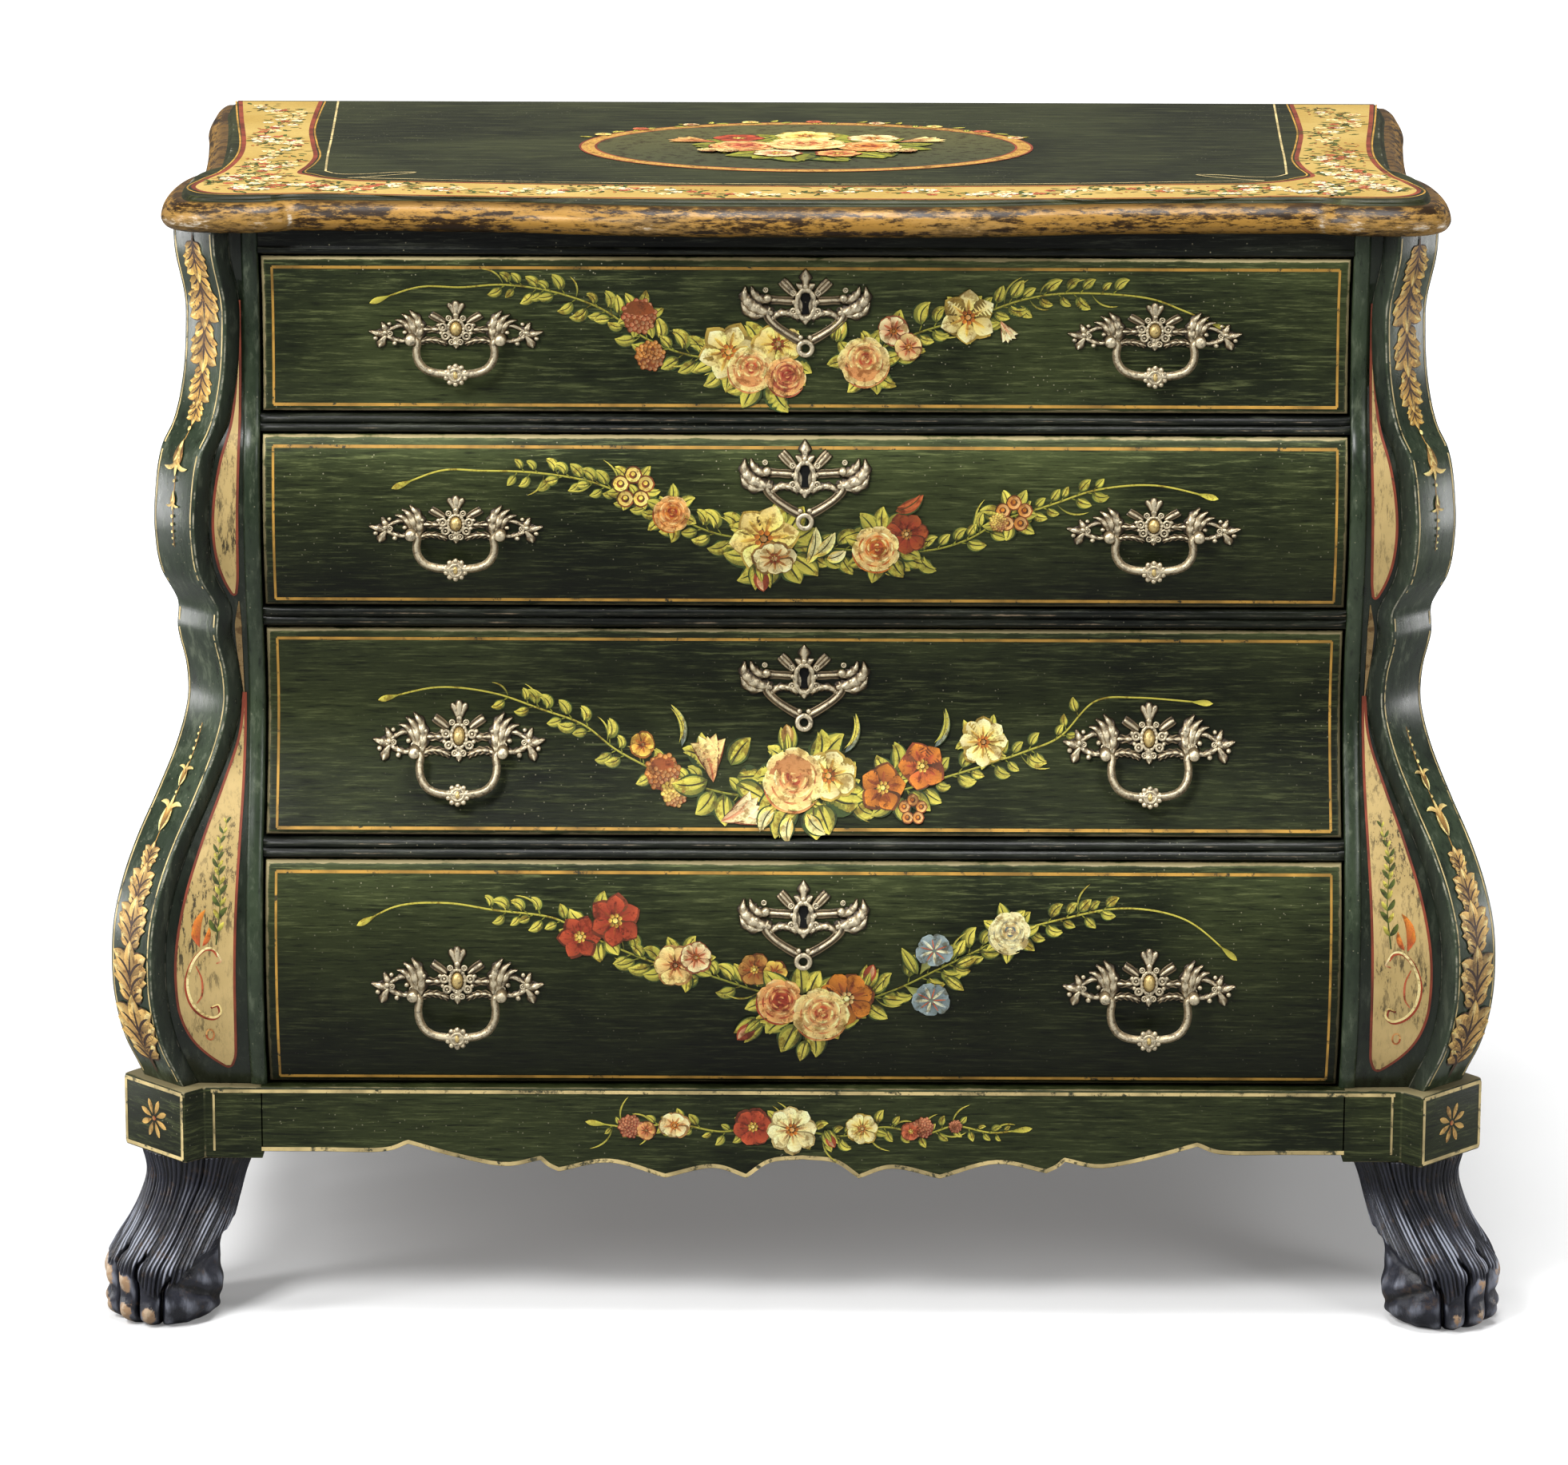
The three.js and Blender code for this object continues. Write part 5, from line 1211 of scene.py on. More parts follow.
class Painting:
    """Brush strokes on a flat sheet, in millimetres across and up. Later groups lie over earlier ones."""

    def __init__(self, seed):
        self.random = np.random.default_rng(seed)
        self.points, self.tints, self.lifts, self.ribbons = [], [], [], []
        self.level = LIFT_FIRST

    def strokes(self, starts, ends, widths, root, tip, bend=0, fullness=1, blunt=0.7, edge=0.3, vary=0.12):
        """Strokes with a spine (1-t)^2 A + 2t(1-t) M + t^2 B, where M is the middle moved aside by the bend,
        and a half width of w/2 sin(pi t^fullness)^blunt. The tint runs from root to tip, darker on a side."""
        starts, ends = np.broadcast_arrays(np.atleast_2d(starts), np.atleast_2d(ends))
        count = len(starts)
        moved = (ends - starts) @ QUARTER_TURN * np.broadcast_to(bend, count)[:, None]
        t = np.linspace(0, 1, STROKE_ROWS)
        weights = np.stack([(1 - t) ** 2, 2 * t * (1 - t), t**2])
        spine = np.einsum("kt,knc->ntc", weights, np.stack([starts, (starts + ends) / 2 + moved * 2, ends]))
        profile = np.sin(np.pi * t ** np.broadcast_to(fullness, count)[:, None]).clip(0, 1) ** blunt
        half = np.maximum(np.broadcast_to(widths, count)[:, None] / 2 * profile, 0.03)
        across = np.linspace(-1, 1, STROKE_COLUMNS)
        root, tip = (np.broadcast_to(tone, (count, 3))[:, None, None] for tone in (root, tip))
        share = t[:, None, None]
        tone = 1 + self.random.normal(0, vary, (count, 1, 1, 1))
        tints = (root * (1 - share) + tip * share) * (1 + edge * across)[:, None] * tone
        self.points.append(swept(spine, half, across))
        self.tints.append(np.clip(tints, 0.002, 0.95))
        self.lifts.append(self.level + LIFT_NEXT * (np.arange(count) % 11))
        self.level += LIFT_GROUP

    def field(self, points, tint=(1, 1, 1), slot=0, groups=1):
        """A painted area as a grid of its own."""
        self.ribbons.append((points, tint, self.level, slot))
        self.level += LIFT_GROUP * groups

    def ribbon(self, path, widths, root, tip, count=60):
        """A line of changing width along a smooth path."""
        share = np.linspace(0, 1, count)
        half = np.interp(share, np.linspace(0, 1, len(widths)), widths) / 2
        self.field(swept(smooth_path(path, count), half, (-1, 0, 1)), mixed(root, tip, share)[:, None])

    def line(self, path, width, slot, tint=(1, 1, 1)):
        """A plain line through points, in a material of its own."""
        self.field(swept(path, np.full(len(path), width), (-0.5, 0.5)), tint, slot)

    def leaves(self, starts, ends, widths, light=LEAF_YELLOW, dark=LEAF_GREEN, bend=0):
        """Pointed leaves: a dark shape, a light half beside the vein, a pale edge and the vein."""
        starts, ends = np.atleast_2d(starts), np.atleast_2d(ends)
        widths = np.broadcast_to(widths, len(starts))
        run = ends - starts
        aside = unit(run) @ QUARTER_TURN * widths[:, None]
        lit = mixed(light, LEAF_OLIVE, self.random.uniform(0, 1, len(starts)) * 0.55)
        self.strokes(starts, ends, widths * 1.25, LEAF_DARK, LEAF_DARK, bend, 0.85, 0.8, 0.1)
        self.strokes(starts, ends, widths, dark, mixed(dark, light, 0.6), bend, 0.85, 0.8)
        self.strokes(starts + 0.16 * run + aside * 0.1, ends + aside * 0.04, widths * 0.6, lit * 0.75, lit,
                     bend, 0.85, 0.8, 0.25)
        self.strokes(starts + 0.1 * run - aside * 0.2, ends - 0.08 * run - aside * 0.14, widths * 0.22, lit,
                     lit, bend, edge=0.1)
        vein = np.maximum(widths * 0.09, 0.45)
        self.strokes(starts, ends - 0.1 * run, vein, UMBER, LEAF_DARK, bend, 1, 0.5, 0)

    def sprays(self, centre, radius, count, turn=0, light=LEAF_YELLOW, reach=1.5):
        """Leaves that stand out from behind a flower."""
        out = turned(evenly(count, turn) + self.random.uniform(-12, 12, count))
        length = radius * reach * self.random.uniform(0.82, 1.1, (count, 1))
        bend = self.random.uniform(-0.14, 0.14, count)
        self.leaves(centre + out * radius * 0.45, centre + out * length, radius * 0.55, light, bend=bend)

    def petals(self, centre, radius, inner, outer, width, count, root, tip, turn, full, blunt, squash=1):
        """A ring of petals, with their reach and width as shares of a radius. Squash flattens it upright, as
        on a flower seen from the side."""
        out = turned(evenly(count, turn) + self.random.uniform(-5, 5, count)) * (radius, radius * squash)
        reach = outer * self.random.uniform(0.93, 1.06, (count, 1))
        self.strokes(centre + out * inner, centre + out * reach, width * radius, root, tip, 0, full, blunt,
                     0.25, 0.1)

    def arcs(self, centre, radius, half_angle, turns, width, root, tip):
        """Short strokes curved round a centre."""
        first, last = (centre + turned(turns + side * half_angle) * radius for side in (-1, 1))
        self.strokes(first, last, width, root, tip, math.tan(math.radians(half_angle) / 2) / 2, 1, 0.6, 0.2)

    def dots(self, centres, size, root, tip):
        half = np.array([size / 2, 0])
        self.strokes(centres - half, centres + half, size * 0.95, root, tip, 0, 1, 0.5, 0.2, 0.15)

    def rose(self, centre, radius, pale, middle, deep, turn=0):
        """Three rings of petals, each with a pale lip and dark lines inside, deepening to the heart."""
        heart = centre + radius * np.array([0.04, 0.1])

        def lines(about, reach, half_angle, turns, width, root, tip):
            self.arcs(about, reach * radius, half_angle, turns, width * radius, root, tip)

        self.dots(centre, radius * 1.7, mixed(middle, deep, 0.5), mixed(middle, deep, 0.3))
        self.petals(centre, radius, 0.2, 1, 0.82, 7, mixed(middle, deep, 0.35), pale, turn, 1.9, 0.55)
        lines(centre, 0.93, 17, evenly(7, turn + 4), 0.1, pale, mixed(pale, IVORY, 0.6))
        lines(centre, 0.7, 20, evenly(7, turn + 26), 0.07, deep, middle)
        self.petals(heart, radius, 0.12, 0.68, 0.62, 6, deep, mixed(middle, pale, 0.7), turn + 30, 1.9, 0.55)
        lines(heart, 0.61, 22, evenly(6, turn + 30), 0.08, pale, mixed(pale, IVORY, 0.5))
        lines(heart, 0.47, 26, evenly(6, turn + 60), 0.07, deep, middle)
        deepest = mixed(deep, CRIMSON, 0.4)
        self.petals(heart, radius, 0.05, 0.42, 0.46, 5, deepest, middle, turn + 10, 1.8, 0.6)
        lines(heart, 0.36, 28, evenly(5, turn + 10), 0.08, mixed(middle, pale, 0.5), pale)
        lines(heart, 0.22, 40, evenly(3, turn + 20), 0.09, deep, deep)
        lines(heart, 0.12, 50, turn + np.array([80, 250]), 0.08, pale, middle)
        lines(centre, 0.97, 40, turn - np.array([110, 160]), 0.08, deep, middle)

    def daisy(self, centre, radius, count, root, tip, eye=ORANGE, turn=0, pointed=False, squash=1):
        """Petals with a vein each, over darker ones, round an eye of dots."""
        full, blunt, share = (1.15, 0.95, 0.68) if pointed else (1.7, 0.6, 0.78)
        width = 2 * math.pi / count * share
        for inner, outer, wide, first, last, *form in (
                (0.1, 1.06, 1.22, UMBER, mixed(UMBER, root, 0.5), turn, full, blunt),
                (0.15, 1, 1, root, tip, turn, full, blunt), (0.2, 0.72, 0.16, RUST, root, turn, 1, 0.6)):
            self.petals(centre, radius, inner, outer, width * wide, count, first, last, *form, squash)
        self.dots(centre + turned(np.arange(7) * 51.4 + turn) * radius * 0.2, radius * 0.17, RUST, eye)
        self.dots(centre, radius * 0.2, eye, mixed(eye, IVORY, 0.4))

    def cluster(self, centre, radius, dark, light):
        """A ball of many small florets, lit from the upper left."""
        self.dots(centre, radius * 2, mixed(dark, UMBER, 0.5), dark)
        florets = np.arange(FLORETS)
        away = turned(florets * SUNFLOWER_TURN) * np.sqrt((florets[:, None] + 0.5) / FLORETS) * 0.95
        lit = np.clip(0.55 + away @ (-0.35, 0.5) + self.random.normal(0, 0.18, FLORETS), 0, 1)
        tone = mixed(dark, light, lit)
        spots = centre + away * radius
        self.dots(spots, radius * 0.34, tone * 0.5, tone * 0.6)
        self.dots(spots + (0.1, 0.15), radius * 0.25, tone, mixed(tone, IVORY, 0.25))

    def bunch(self, centre, radius, tone):
        """Five little rings close together, each with a dark eye."""
        spots = centre + turned(evenly(5, 18)) * radius * 0.6
        pale = mixed(tone, IVORY, 0.4)
        for size, root, tip in ((0.85, UMBER, RUST), (0.7, tone, pale), (0.38, RUST, UMBER)):
            self.dots(spots, radius * size, root, tip)
        self.dots(spots + (0, radius * 0.04), radius * 0.2, tone, tone)

    def tulip(self, centre, length, angle, root=CORAL, tip=CREAM):
        """Long petals that fan a little from a base, with streaks of the root colour."""
        base = centre - turned(angle) * length * 0.5
        fan = turned(angle + np.array([-24, 24, -11, 11, 0]))
        ends = base + fan * length * np.array([0.93, 0.93, 1, 1, 0.95])[:, None]
        bend = (-0.16, 0.16, -0.08, 0.08, 0)
        self.strokes(base, ends, length * 0.36, UMBER, mixed(UMBER, root, 0.5), bend, 1.1, 0.75)
        self.strokes(base, ends, length * 0.3, mixed(root, tip, 0.3), tip, bend, 1.1, 0.8)
        streaks = turned(angle + np.array([-17, -6, 5, 16]))
        self.strokes(base, base + streaks * length * 0.8, length * 0.05, root, mixed(root, tip, 0.4),
                     (-0.1, -0.03, 0.03, 0.1), 1, 0.5)

    def bell(self, centre, radius, angle, tone, lip):
        """A trumpet flower seen from the side: a tapering tube and an open mouth with veins."""
        out = turned(angle) * radius
        self.strokes(centre - out * 1.5, centre + out * 0.3, radius * 0.7, LEAF_OLIVE, tone, 0, 1.6)
        for reach, width, root, tip, *form in (
                (1, 0.95, tone, mixed(tone, lip, 0.55), angle, 1.7, 0.5),
                (0.9, 0.16, IVORY, lip, angle, 1, 0.6), (0.75, 0.07, CORAL, PINK, angle + 36, 1, 0.6)):
            self.petals(centre, radius, 0.1, reach, width, 5, root, tip, *form, 0.85)

    def bud(self, centre, radius, angle, tone):
        out = turned(angle) * radius
        aside = turned(angle + 90) * np.array([[-radius], [radius]])
        self.leaves(centre - out + aside * 0.3, centre + out * 0.9 + aside * 0.5, radius * 0.7)
        self.strokes(centre - out * 0.6, centre + out * 1.1, radius * 1.05, mixed(tone, UMBER, 0.4), tone)
        self.strokes(centre - out * 0.3, centre + out, radius * 0.4, tone, mixed(tone, IVORY, 0.5), 0.1)
        self.leaves(centre - out * 1.1, centre + out * 0.4, radius * 0.5)

    def vine(self, path, spacing=11, size=(22, 10), bare=0.28, spread=36):
        """A stem from the middle outwards, with leaves on both sides that shrink to its end. The last share
        of it stays bare and ends in a drop."""
        spine = smooth_path(path, 160)
        run = np.append(0, np.cumsum(np.linalg.norm(np.diff(spine, axis=0), axis=1)))

        def at(where):
            return np.stack([np.interp(where, run, spine[:, k]) for k in (0, 1)], axis=1)

        self.ribbon(path, (1.6, 1.3, 1.2, 1.1), LEAF_GREEN, mixed(LEAF_OLIVE, LEAF_YELLOW, 0.5), 90)
        self.ribbon(np.array(path) + (0, 0.4), (0.5, 0.7, 0.7, 0.5), LEAF_OLIVE, LEAF_YELLOW, 90)
        count = max(2, int(run[-1] * (1 - bare) / spacing))
        where = (np.arange(count) + 0.5) * spacing + self.random.uniform(-3, 3, count)
        foot = at(where)
        ahead = at(where + 3) - foot
        heading = np.degrees(np.arctan2(ahead[:, 1], ahead[:, 0]))
        for sign in (-1, 1):
            kept = self.random.uniform(0, 1, count) > 0.12
            length = np.interp(where / run[-1], (0, 1), size) * self.random.uniform(0.8, 1.25, count)
            out = turned(heading + sign * (spread + self.random.uniform(-14, 20, count))) * length[:, None]
            start = foot + turned(heading) * (sign * spacing * 0.22)
            stem = start + out * 0.25
            self.strokes(start[kept], stem[kept], 0.9, LEAF_GREEN, LEAF_OLIVE)
            bend = -sign * self.random.uniform(0, 0.2, count)
            self.leaves(stem[kept], (start + out)[kept], (length * 0.44)[kept], bend=bend[kept])
        grass = self.random.uniform(0.05, 1 - bare, 7) * run[-1]
        side = self.random.choice([-1, 1], 7)
        out = turned(np.interp(grass, where, heading) + side * self.random.uniform(20, 60, 7))
        length = self.random.uniform(14, 26, (7, 1))
        self.strokes(at(grass), at(grass) + out * length, 1.3, LEAF_GREEN, LEAF_YELLOW, side * -0.18, 1.1)
        drop = unit(spine[-1] - spine[-12])
        self.strokes(spine[-1] - drop * 16, spine[-1] + drop * 3, 4.6, LEAF_OLIVE, LEAF_YELLOW, 0, 1.9, 0.8)

    def onto(self, shell, surface):
        """Lays everything on a surface, a function of the two places and the lift off it."""
        lifts = np.concatenate(self.lifts)[:, None, None]
        brushed = (np.concatenate(self.points), np.concatenate(self.tints), lifts, 0)
        for points, tints, lift, slot in [brushed, *self.ribbons]:
            shell.grid(surface(points[..., 0], points[..., 1], lift), tint=tints, slot=slot)


PAINTED_MATERIALS = [STROKES, GOLD_LINE, PALE_LINE, RED_LINE, RESERVE_CREAM, BAND_YELLOW]
ON_GOLD, ON_PALE, ON_RED, ON_CREAM, ON_YELLOW = 1, 2, 3, 4, 5


def laid(name, body, slot, *paintings):
    """One piece of painted ornament, from pairs of a painting and the surface it lies on."""
    shell = Shell()
    for painting, surface in paintings:
        painting.onto(shell, surface)
    return shell.made(name, PAINTED_MATERIALS, None, body, slot, closed=False)


def on_drawer(base):
    """The swelling face, with heights counted from the drawer's lower edge."""
    return lambda across, up, lift: stacked(across, -swell(base + up) - lift, base + up)


# The garlands: stems from the middle outwards, as (across, up) in millimetres from the drawer's lower middle

STEMS = {
    1: (((-15, 31), (-51, 37), (-87, 42), (-117, 54), (-148, 75), (-184, 88), (-219, 93), (-250, 91),
         (-281, 91), (-314, 80)),
        ((40, 34), (56, 47), (87, 60), (122, 70), (158, 83), (194, 88), (245, 85), (275, 75), (306, 61))),
    2: (((0, 47), (-36, 52), (-66, 57), (-97, 70), (-138, 88), (-163, 96), (-199, 101), (-235, 102),
         (-265, 102), (-298, 90)),
        ((0, 47), (46, 44), (87, 44), (117, 52), (143, 67), (168, 75), (183, 80), (214, 90), (255, 93),
         (298, 84))),
    3: (((-5, 28), (-46, 28), (-77, 34), (-107, 44), (-138, 59), (-163, 77), (-194, 88), (-230, 100),
         (-270, 104), (-311, 95)),
        ((-5, 28), (36, 30), (66, 31), (97, 39), (132, 49), (163, 59), (189, 70), (214, 95), (245, 98),
         (298, 94))),
    4: (((-3, 68), (-39, 78), (-69, 88), (-104, 96), (-135, 108), (-160, 119), (-185, 131), (-226, 136),
         (-261, 141), (-297, 139), (-325, 126)),
        ((-3, 68), (37, 68), (68, 78), (98, 93), (128, 108), (154, 121), (189, 131), (235, 139), (280, 131),
         (316, 103))),
}


def flowers_1(sheet):
    sheet.sprays((-121, 70), 13, 6, 10)
    sheet.cluster((-121, 70), 13, RUST, CORAL)
    sheet.cluster((-113, 41), 11, RUST, ORANGE)
    sheet.sprays((-56, 42), 17, 6, 20)
    sheet.sprays((-30, 34), 26, 10, 0, reach=1.35)
    sheet.sprays((43, 37), 19, 8, 15, reach=1.4)
    sheet.daisy((-56, 44), 21, 6, BUTTER, IVORY, ORANGE, 12, True)
    sheet.daisy((-20, 50), 18, 7, BUTTER, CREAM, RUST, 30, squash=0.7)
    sheet.rose((-40, 31), 17, CREAM, PEACH, CORAL, 10)
    sheet.rose((-14, 26), 15, PEACH, PINK, CRIMSON, 40)
    sheet.rose((43, 37), 19, CREAM, PEACH, CORAL, 70)
    sheet.daisy((64, 60), 11, 5, PINK, IVORY, ORANGE)
    sheet.daisy((75, 48), 10, 5, PINK, CREAM, ORANGE, 30)
    sheet.sprays((118, 70), 13, 5, 200, reach=1.7)
    sheet.daisy((118, 70), 20, 6, BUTTER, IVORY, ORANGE, 25, True)
    sheet.tulip((146, 60), 17, -60, PINK, IVORY)
    sheet.bud((24, 60), 8, 80, BUTTER)


def flowers_2(sheet):
    sheet.sprays((-125, 90), 14, 6, 0)
    sheet.bunch((-125, 90), 16, BUTTER)
    sheet.sprays((-97, 71), 15, 6, 30)
    sheet.rose((-97, 71), 14, PEACH, ORANGE, CRIMSON, 0)
    sheet.sprays((-20, 46), 27, 11, 0, reach=1.35)
    sheet.sprays((58, 48), 22, 9, 10, reach=1.4)
    sheet.daisy((-30, 53), 25, 6, BUTTER, CREAM, ORANGE, 8, True)
    sheet.bud((-32, 24), 11, -80, CORAL)
    sheet.daisy((-22, 38), 16, 7, OCHRE, IVORY, RUST, 15, squash=0.75)
    sheet.leaves([(2, 34), (6, 40), (16, 38)], [(8, 62), (22, 58), (30, 44)], 9, IVORY, BUTTER, 0.1)
    sheet.daisy((74, 57), 15, 7, CRIMSON, RUST, OCHRE, 10)
    sheet.rose((52, 45), 18, CREAM, ORANGE, CORAL, 25)
    sheet.leaves([(66, 74)], [(86, 86)], 9, CORAL, RUST, 0.1)
    sheet.sprays((150, 71), 15, 7, 5, reach=1.4)
    sheet.bunch((152, 72), 14, ORANGE)
    sheet.cluster((141, 66), 7, RUST, BUTTER)


def flowers_3(sheet):
    sheet.daisy((-119, 63), 9, 5, ORANGE, BUTTER, RUST)
    sheet.cluster((-104, 44), 13, RUST, ORANGE)
    sheet.cluster((-95, 30), 10, RUST, BUTTER)
    sheet.sprays((-60, 40), 24, 8, 15, reach=1.5)
    sheet.sprays((5, 34), 30, 12, 0, reach=1.35)
    sheet.tulip((-69, 54), 34, 98)
    sheet.tulip((-46, 16), 32, 20, PINK, IVORY)
    sheet.bud((-12, 68), 9, 95, OCHRE)
    sheet.leaves([(-22, 20), (-10, 14), (2, 16)], [(-32, 4), (-12, -4), (16, 2)], 10, IVORY, BUTTER, 0.1)
    sheet.daisy((18, 42), 20, 7, BUTTER, IVORY, ORANGE, 20, squash=0.85)
    sheet.rose((-8, 39), 23, CREAM, PEACH, CORAL, 33)
    sheet.sprays((70, 36), 20, 8, 5, reach=1.5)
    sheet.daisy((58, 34), 17, 5, RUST, ORANGE, BUTTER, 10, True)
    sheet.daisy((87, 49), 17, 5, CORAL, ORANGE, BUTTER, 40, True)
    sheet.bunch((80, 19), 11, ORANGE)
    sheet.sprays((132, 66), 13, 6, 20, reach=1.5)
    sheet.daisy((132, 66), 17, 8, BUTTER, IVORY, ORANGE, 0)
    sheet.leaves([(30, 58), (96, 62), (-90, 62)], [(38, 86), (104, 90), (-98, 92)], 5, dark=SLATE, bend=0.15)


def flowers_4(sheet):
    sheet.sprays((-152, 122), 20, 8, 0, reach=1.35)
    sheet.daisy((-164, 117), 16, 6, CRIMSON, CORAL, BUTTER, 5, True)
    sheet.daisy((-138, 129), 19, 6, CRIMSON, CORAL, BUTTER, 25, True)
    sheet.sprays((-88, 98), 16, 7, 20, reach=1.45)
    sheet.daisy((-94, 96), 15, 6, PEACH, CREAM, RUST)
    sheet.daisy((-79, 102), 12, 6, PINK, IVORY, RUST, 20)
    sheet.daisy((-36, 93), 12, 6, RUST, OCHRE, BUTTER)
    sheet.daisy((-21, 91), 9, 6, RUST, BUTTER, CORAL)
    sheet.sprays((0, 62), 27, 12, 8, reach=1.45)
    sheet.bud((-40, 46), 11, 225, CORAL)
    sheet.bud((48, 88), 9, 70, CORAL)
    sheet.daisy((32, 71), 20, 7, RUST, ORANGE, CREAM, 15)
    sheet.rose((-17, 68), 18, PEACH, CORAL, CRIMSON, 0)
    sheet.rose((13, 58), 21, CREAM, PEACH, CORAL, 50)
    sheet.leaves([(2, 38)], [(-2, 20)], 9)
    sheet.leaves([(84, 90), (104, 88), (112, 96)], [(72, 110), (118, 78), (128, 104)], 8)
    sheet.bell((96, 108), 14, 60, SLATE, SKY)
    sheet.bell((94, 70), 15, -30, SLATE, SKY)
    sheet.sprays((151, 121), 15, 7, 10, reach=1.5)
    sheet.rose((151, 121), 16, IVORY, CREAM, SLATE, 10)


FLOWERS = (flowers_1, flowers_2, flowers_3, flowers_4)
LINE_INSET = 8
LINE_DROP = 5
LINE_WIDTH = 2.2


def garland(number):
    """The flowers and stems of a drawer front and the gold line round it."""
    low, high = drawer_span(number)
    sheet = Painting(40 + number)
    far, bottom, top = FRONT_HALF - LINE_INSET, LINE_DROP, high - low - LINE_INSET
    for edge in (bottom, top):
        sheet.line(np.linspace((-far, edge), (far, edge), 9), LINE_WIDTH, ON_GOLD)
    for edge in (-far, far):
        sheet.line(np.linspace((edge, bottom), (edge, top), 16), LINE_WIDTH * 0.8, ON_GOLD)
    for stem in STEMS[number]:
        sheet.vine(stem)
    FLOWERS[number - 1](sheet)
    return laid(f"painted_garland_{number}", f"drawer_{number}", "case_paint", (sheet, on_drawer(low)))


# Ornament of the corner posts

ROOT_HALF = math.sqrt(0.5)
TRUSS_FACE = TRUSS_SPAN / ROOT_HALF
TRUSS_LINE = 3.4
BLOCK_FACE = 70


def on_canted(side, corner, stand):
    """A face at half a right angle that starts at a corner (x, y) and stands out by a function of the height:
    across from its inner edge, up from the floor."""

    def surface(across, up, lift):
        x = corner[0] + stand(up) + (across + lift) * ROOT_HALF
        return stacked(side * x, corner[1] - stand(up) + (across - lift) * ROOT_HALF, up)

    return surface


def on_stile(side):
    """The flat beside the bead: across is the distance from the middle of the case."""
    return lambda across, up, lift: stacked(side * across, -swell(up) - lift, up)


# Lobes of a leaf: share of the rib where each pair starts, and its length as a share of the leaf
LOBES = ((0.2, 0.36), (0.36, 0.52), (0.56, 0.5))
LOBE_SPREAD = 44


def leaf_chain(sheet, leaves, heading, dark, middle, light):
    """Leaves with pointed lobes, as (height of the root, length), along the middle of the canted face. Each
    lobe is forked, and dark veins run along the rib and the lobes. Heading is -90 for down and 90 for up."""
    ahead = turned(heading)
    shares, reaches = np.repeat(LOBES, 2, axis=0).T
    sign = np.tile((-1, 1), len(LOBES))
    bend = np.append(sign * 0.13, 0)
    shadow, pale = mixed(dark, middle, 0.3), mixed(light, IVORY, 0.5)
    for up, length in leaves:
        root = np.array([TRUSS_FACE / 2, up])
        lobes = root + ahead * (shares * length)[:, None]
        reach = (reaches * length)[:, None]
        prongs = lobes + turned(heading + sign * (LOBE_SPREAD + 16)) * reach * 0.8
        foot = np.vstack([lobes, root + ahead * length * 0.45])
        ends = np.vstack([lobes + turned(heading + sign * LOBE_SPREAD) * reach, root + ahead * length * 1.1])
        run = ends - foot
        sheet.strokes(foot, ends, length * 0.3, dark, shadow, bend, 1.2, 0.9)
        sheet.strokes(lobes, prongs, length * 0.19, dark, shadow, bend[:-1], 1.2, 0.9)
        sheet.strokes(lobes, prongs, length * 0.14, middle, light, bend[:-1], 1.35, 0.95, 0.45, 0.15)
        sheet.strokes(foot, ends, length * 0.23, middle, light, bend, 1.35, 0.95, 0.45, 0.15)
        sheet.strokes(foot + run * 0.5, foot + run * 0.95, length * 0.07, light, pale, bend, 1.2)
        sheet.strokes(root, root + ahead * length * 0.9, length * 0.075, dark, middle, 0, 1, 0.5, 0)
        sheet.strokes(foot, foot + run * 0.75, length * 0.04, dark, dark, bend, 1, 0.5, 0)


def bell_row(sheet, rows, heading, tone, light):
    """Bells on the middle line, as (height, length): a tube, two flared lips and a pointed tongue."""
    out = turned(heading)
    fan = turned(heading + np.array([-58, 58]))
    for up, size in rows:
        base = np.array([TRUSS_FACE / 2, up])
        waist = base + out * size * 0.45
        sides = base + np.array([(-0.13, 0), (0.13, 0)]) * size
        sheet.strokes(base, waist + out * size * 0.3, size * 0.36, UMBER, tone, 0, 1.5, 0.6)
        sheet.strokes(waist, waist + fan * size * 0.56, size * 0.13, tone, light, (-0.3, 0.3), 1.3)
        sheet.strokes(waist, waist + out * size * 0.55, size * 0.12, tone, light, blunt=0.8)
        sheet.strokes(base, sides + out * size * 0.6, size * 0.09, light, light, (-0.12, 0.12), 1.2)


UPPER_LEAVES = ((695, 23), (720, 35), (754, 43), (790, 47), (813, 36))
LOWER_LEAVES = ((338, 24), (310, 36), (278, 44), (234, 54), (186, 60))
UPPER_BELLS = ((661, 27), (624, 15))
LOWER_BELLS = ((371, 25), (402, 17))
UPPER_DOTS = ((668, 3.4), (631, 2.6), (605, 3), (599, 2.8), (593.5, 2.4), (588.5, 2), (584, 1.7))
LOWER_DOTS = ((398, 2.4), (422, 3), (428, 2.6), (433.5, 2.3), (438.5, 2), (443, 1.6))

# Reserves on the stiles: (height, inner edge, outer edge), edges as distances from the middle of the case
UPPER_RESERVE = ((762, 411.4, 412.6), (735, 411.4, 413.4), (700, 411.5, 414.6), (672, 411.8, 418),
                 (645, 412.4, 425.5), (618, 413.2, 430), (595, 413.6, 431), (572, 414, 428.5),
                 (556, 414.6, 423.5), (547, 415.8, 419))
LOWER_RESERVE = ((470, 411.4, 412.6), (440, 411.6, 415.6), (405, 412.4, 427), (370, 414, 440),
                 (330, 416, 452.5), (290, 417.5, 460), (262, 418, 461), (236, 418.2, 458), (216, 418.6, 449),
                 (203, 419.5, 437), (196, 422, 428))


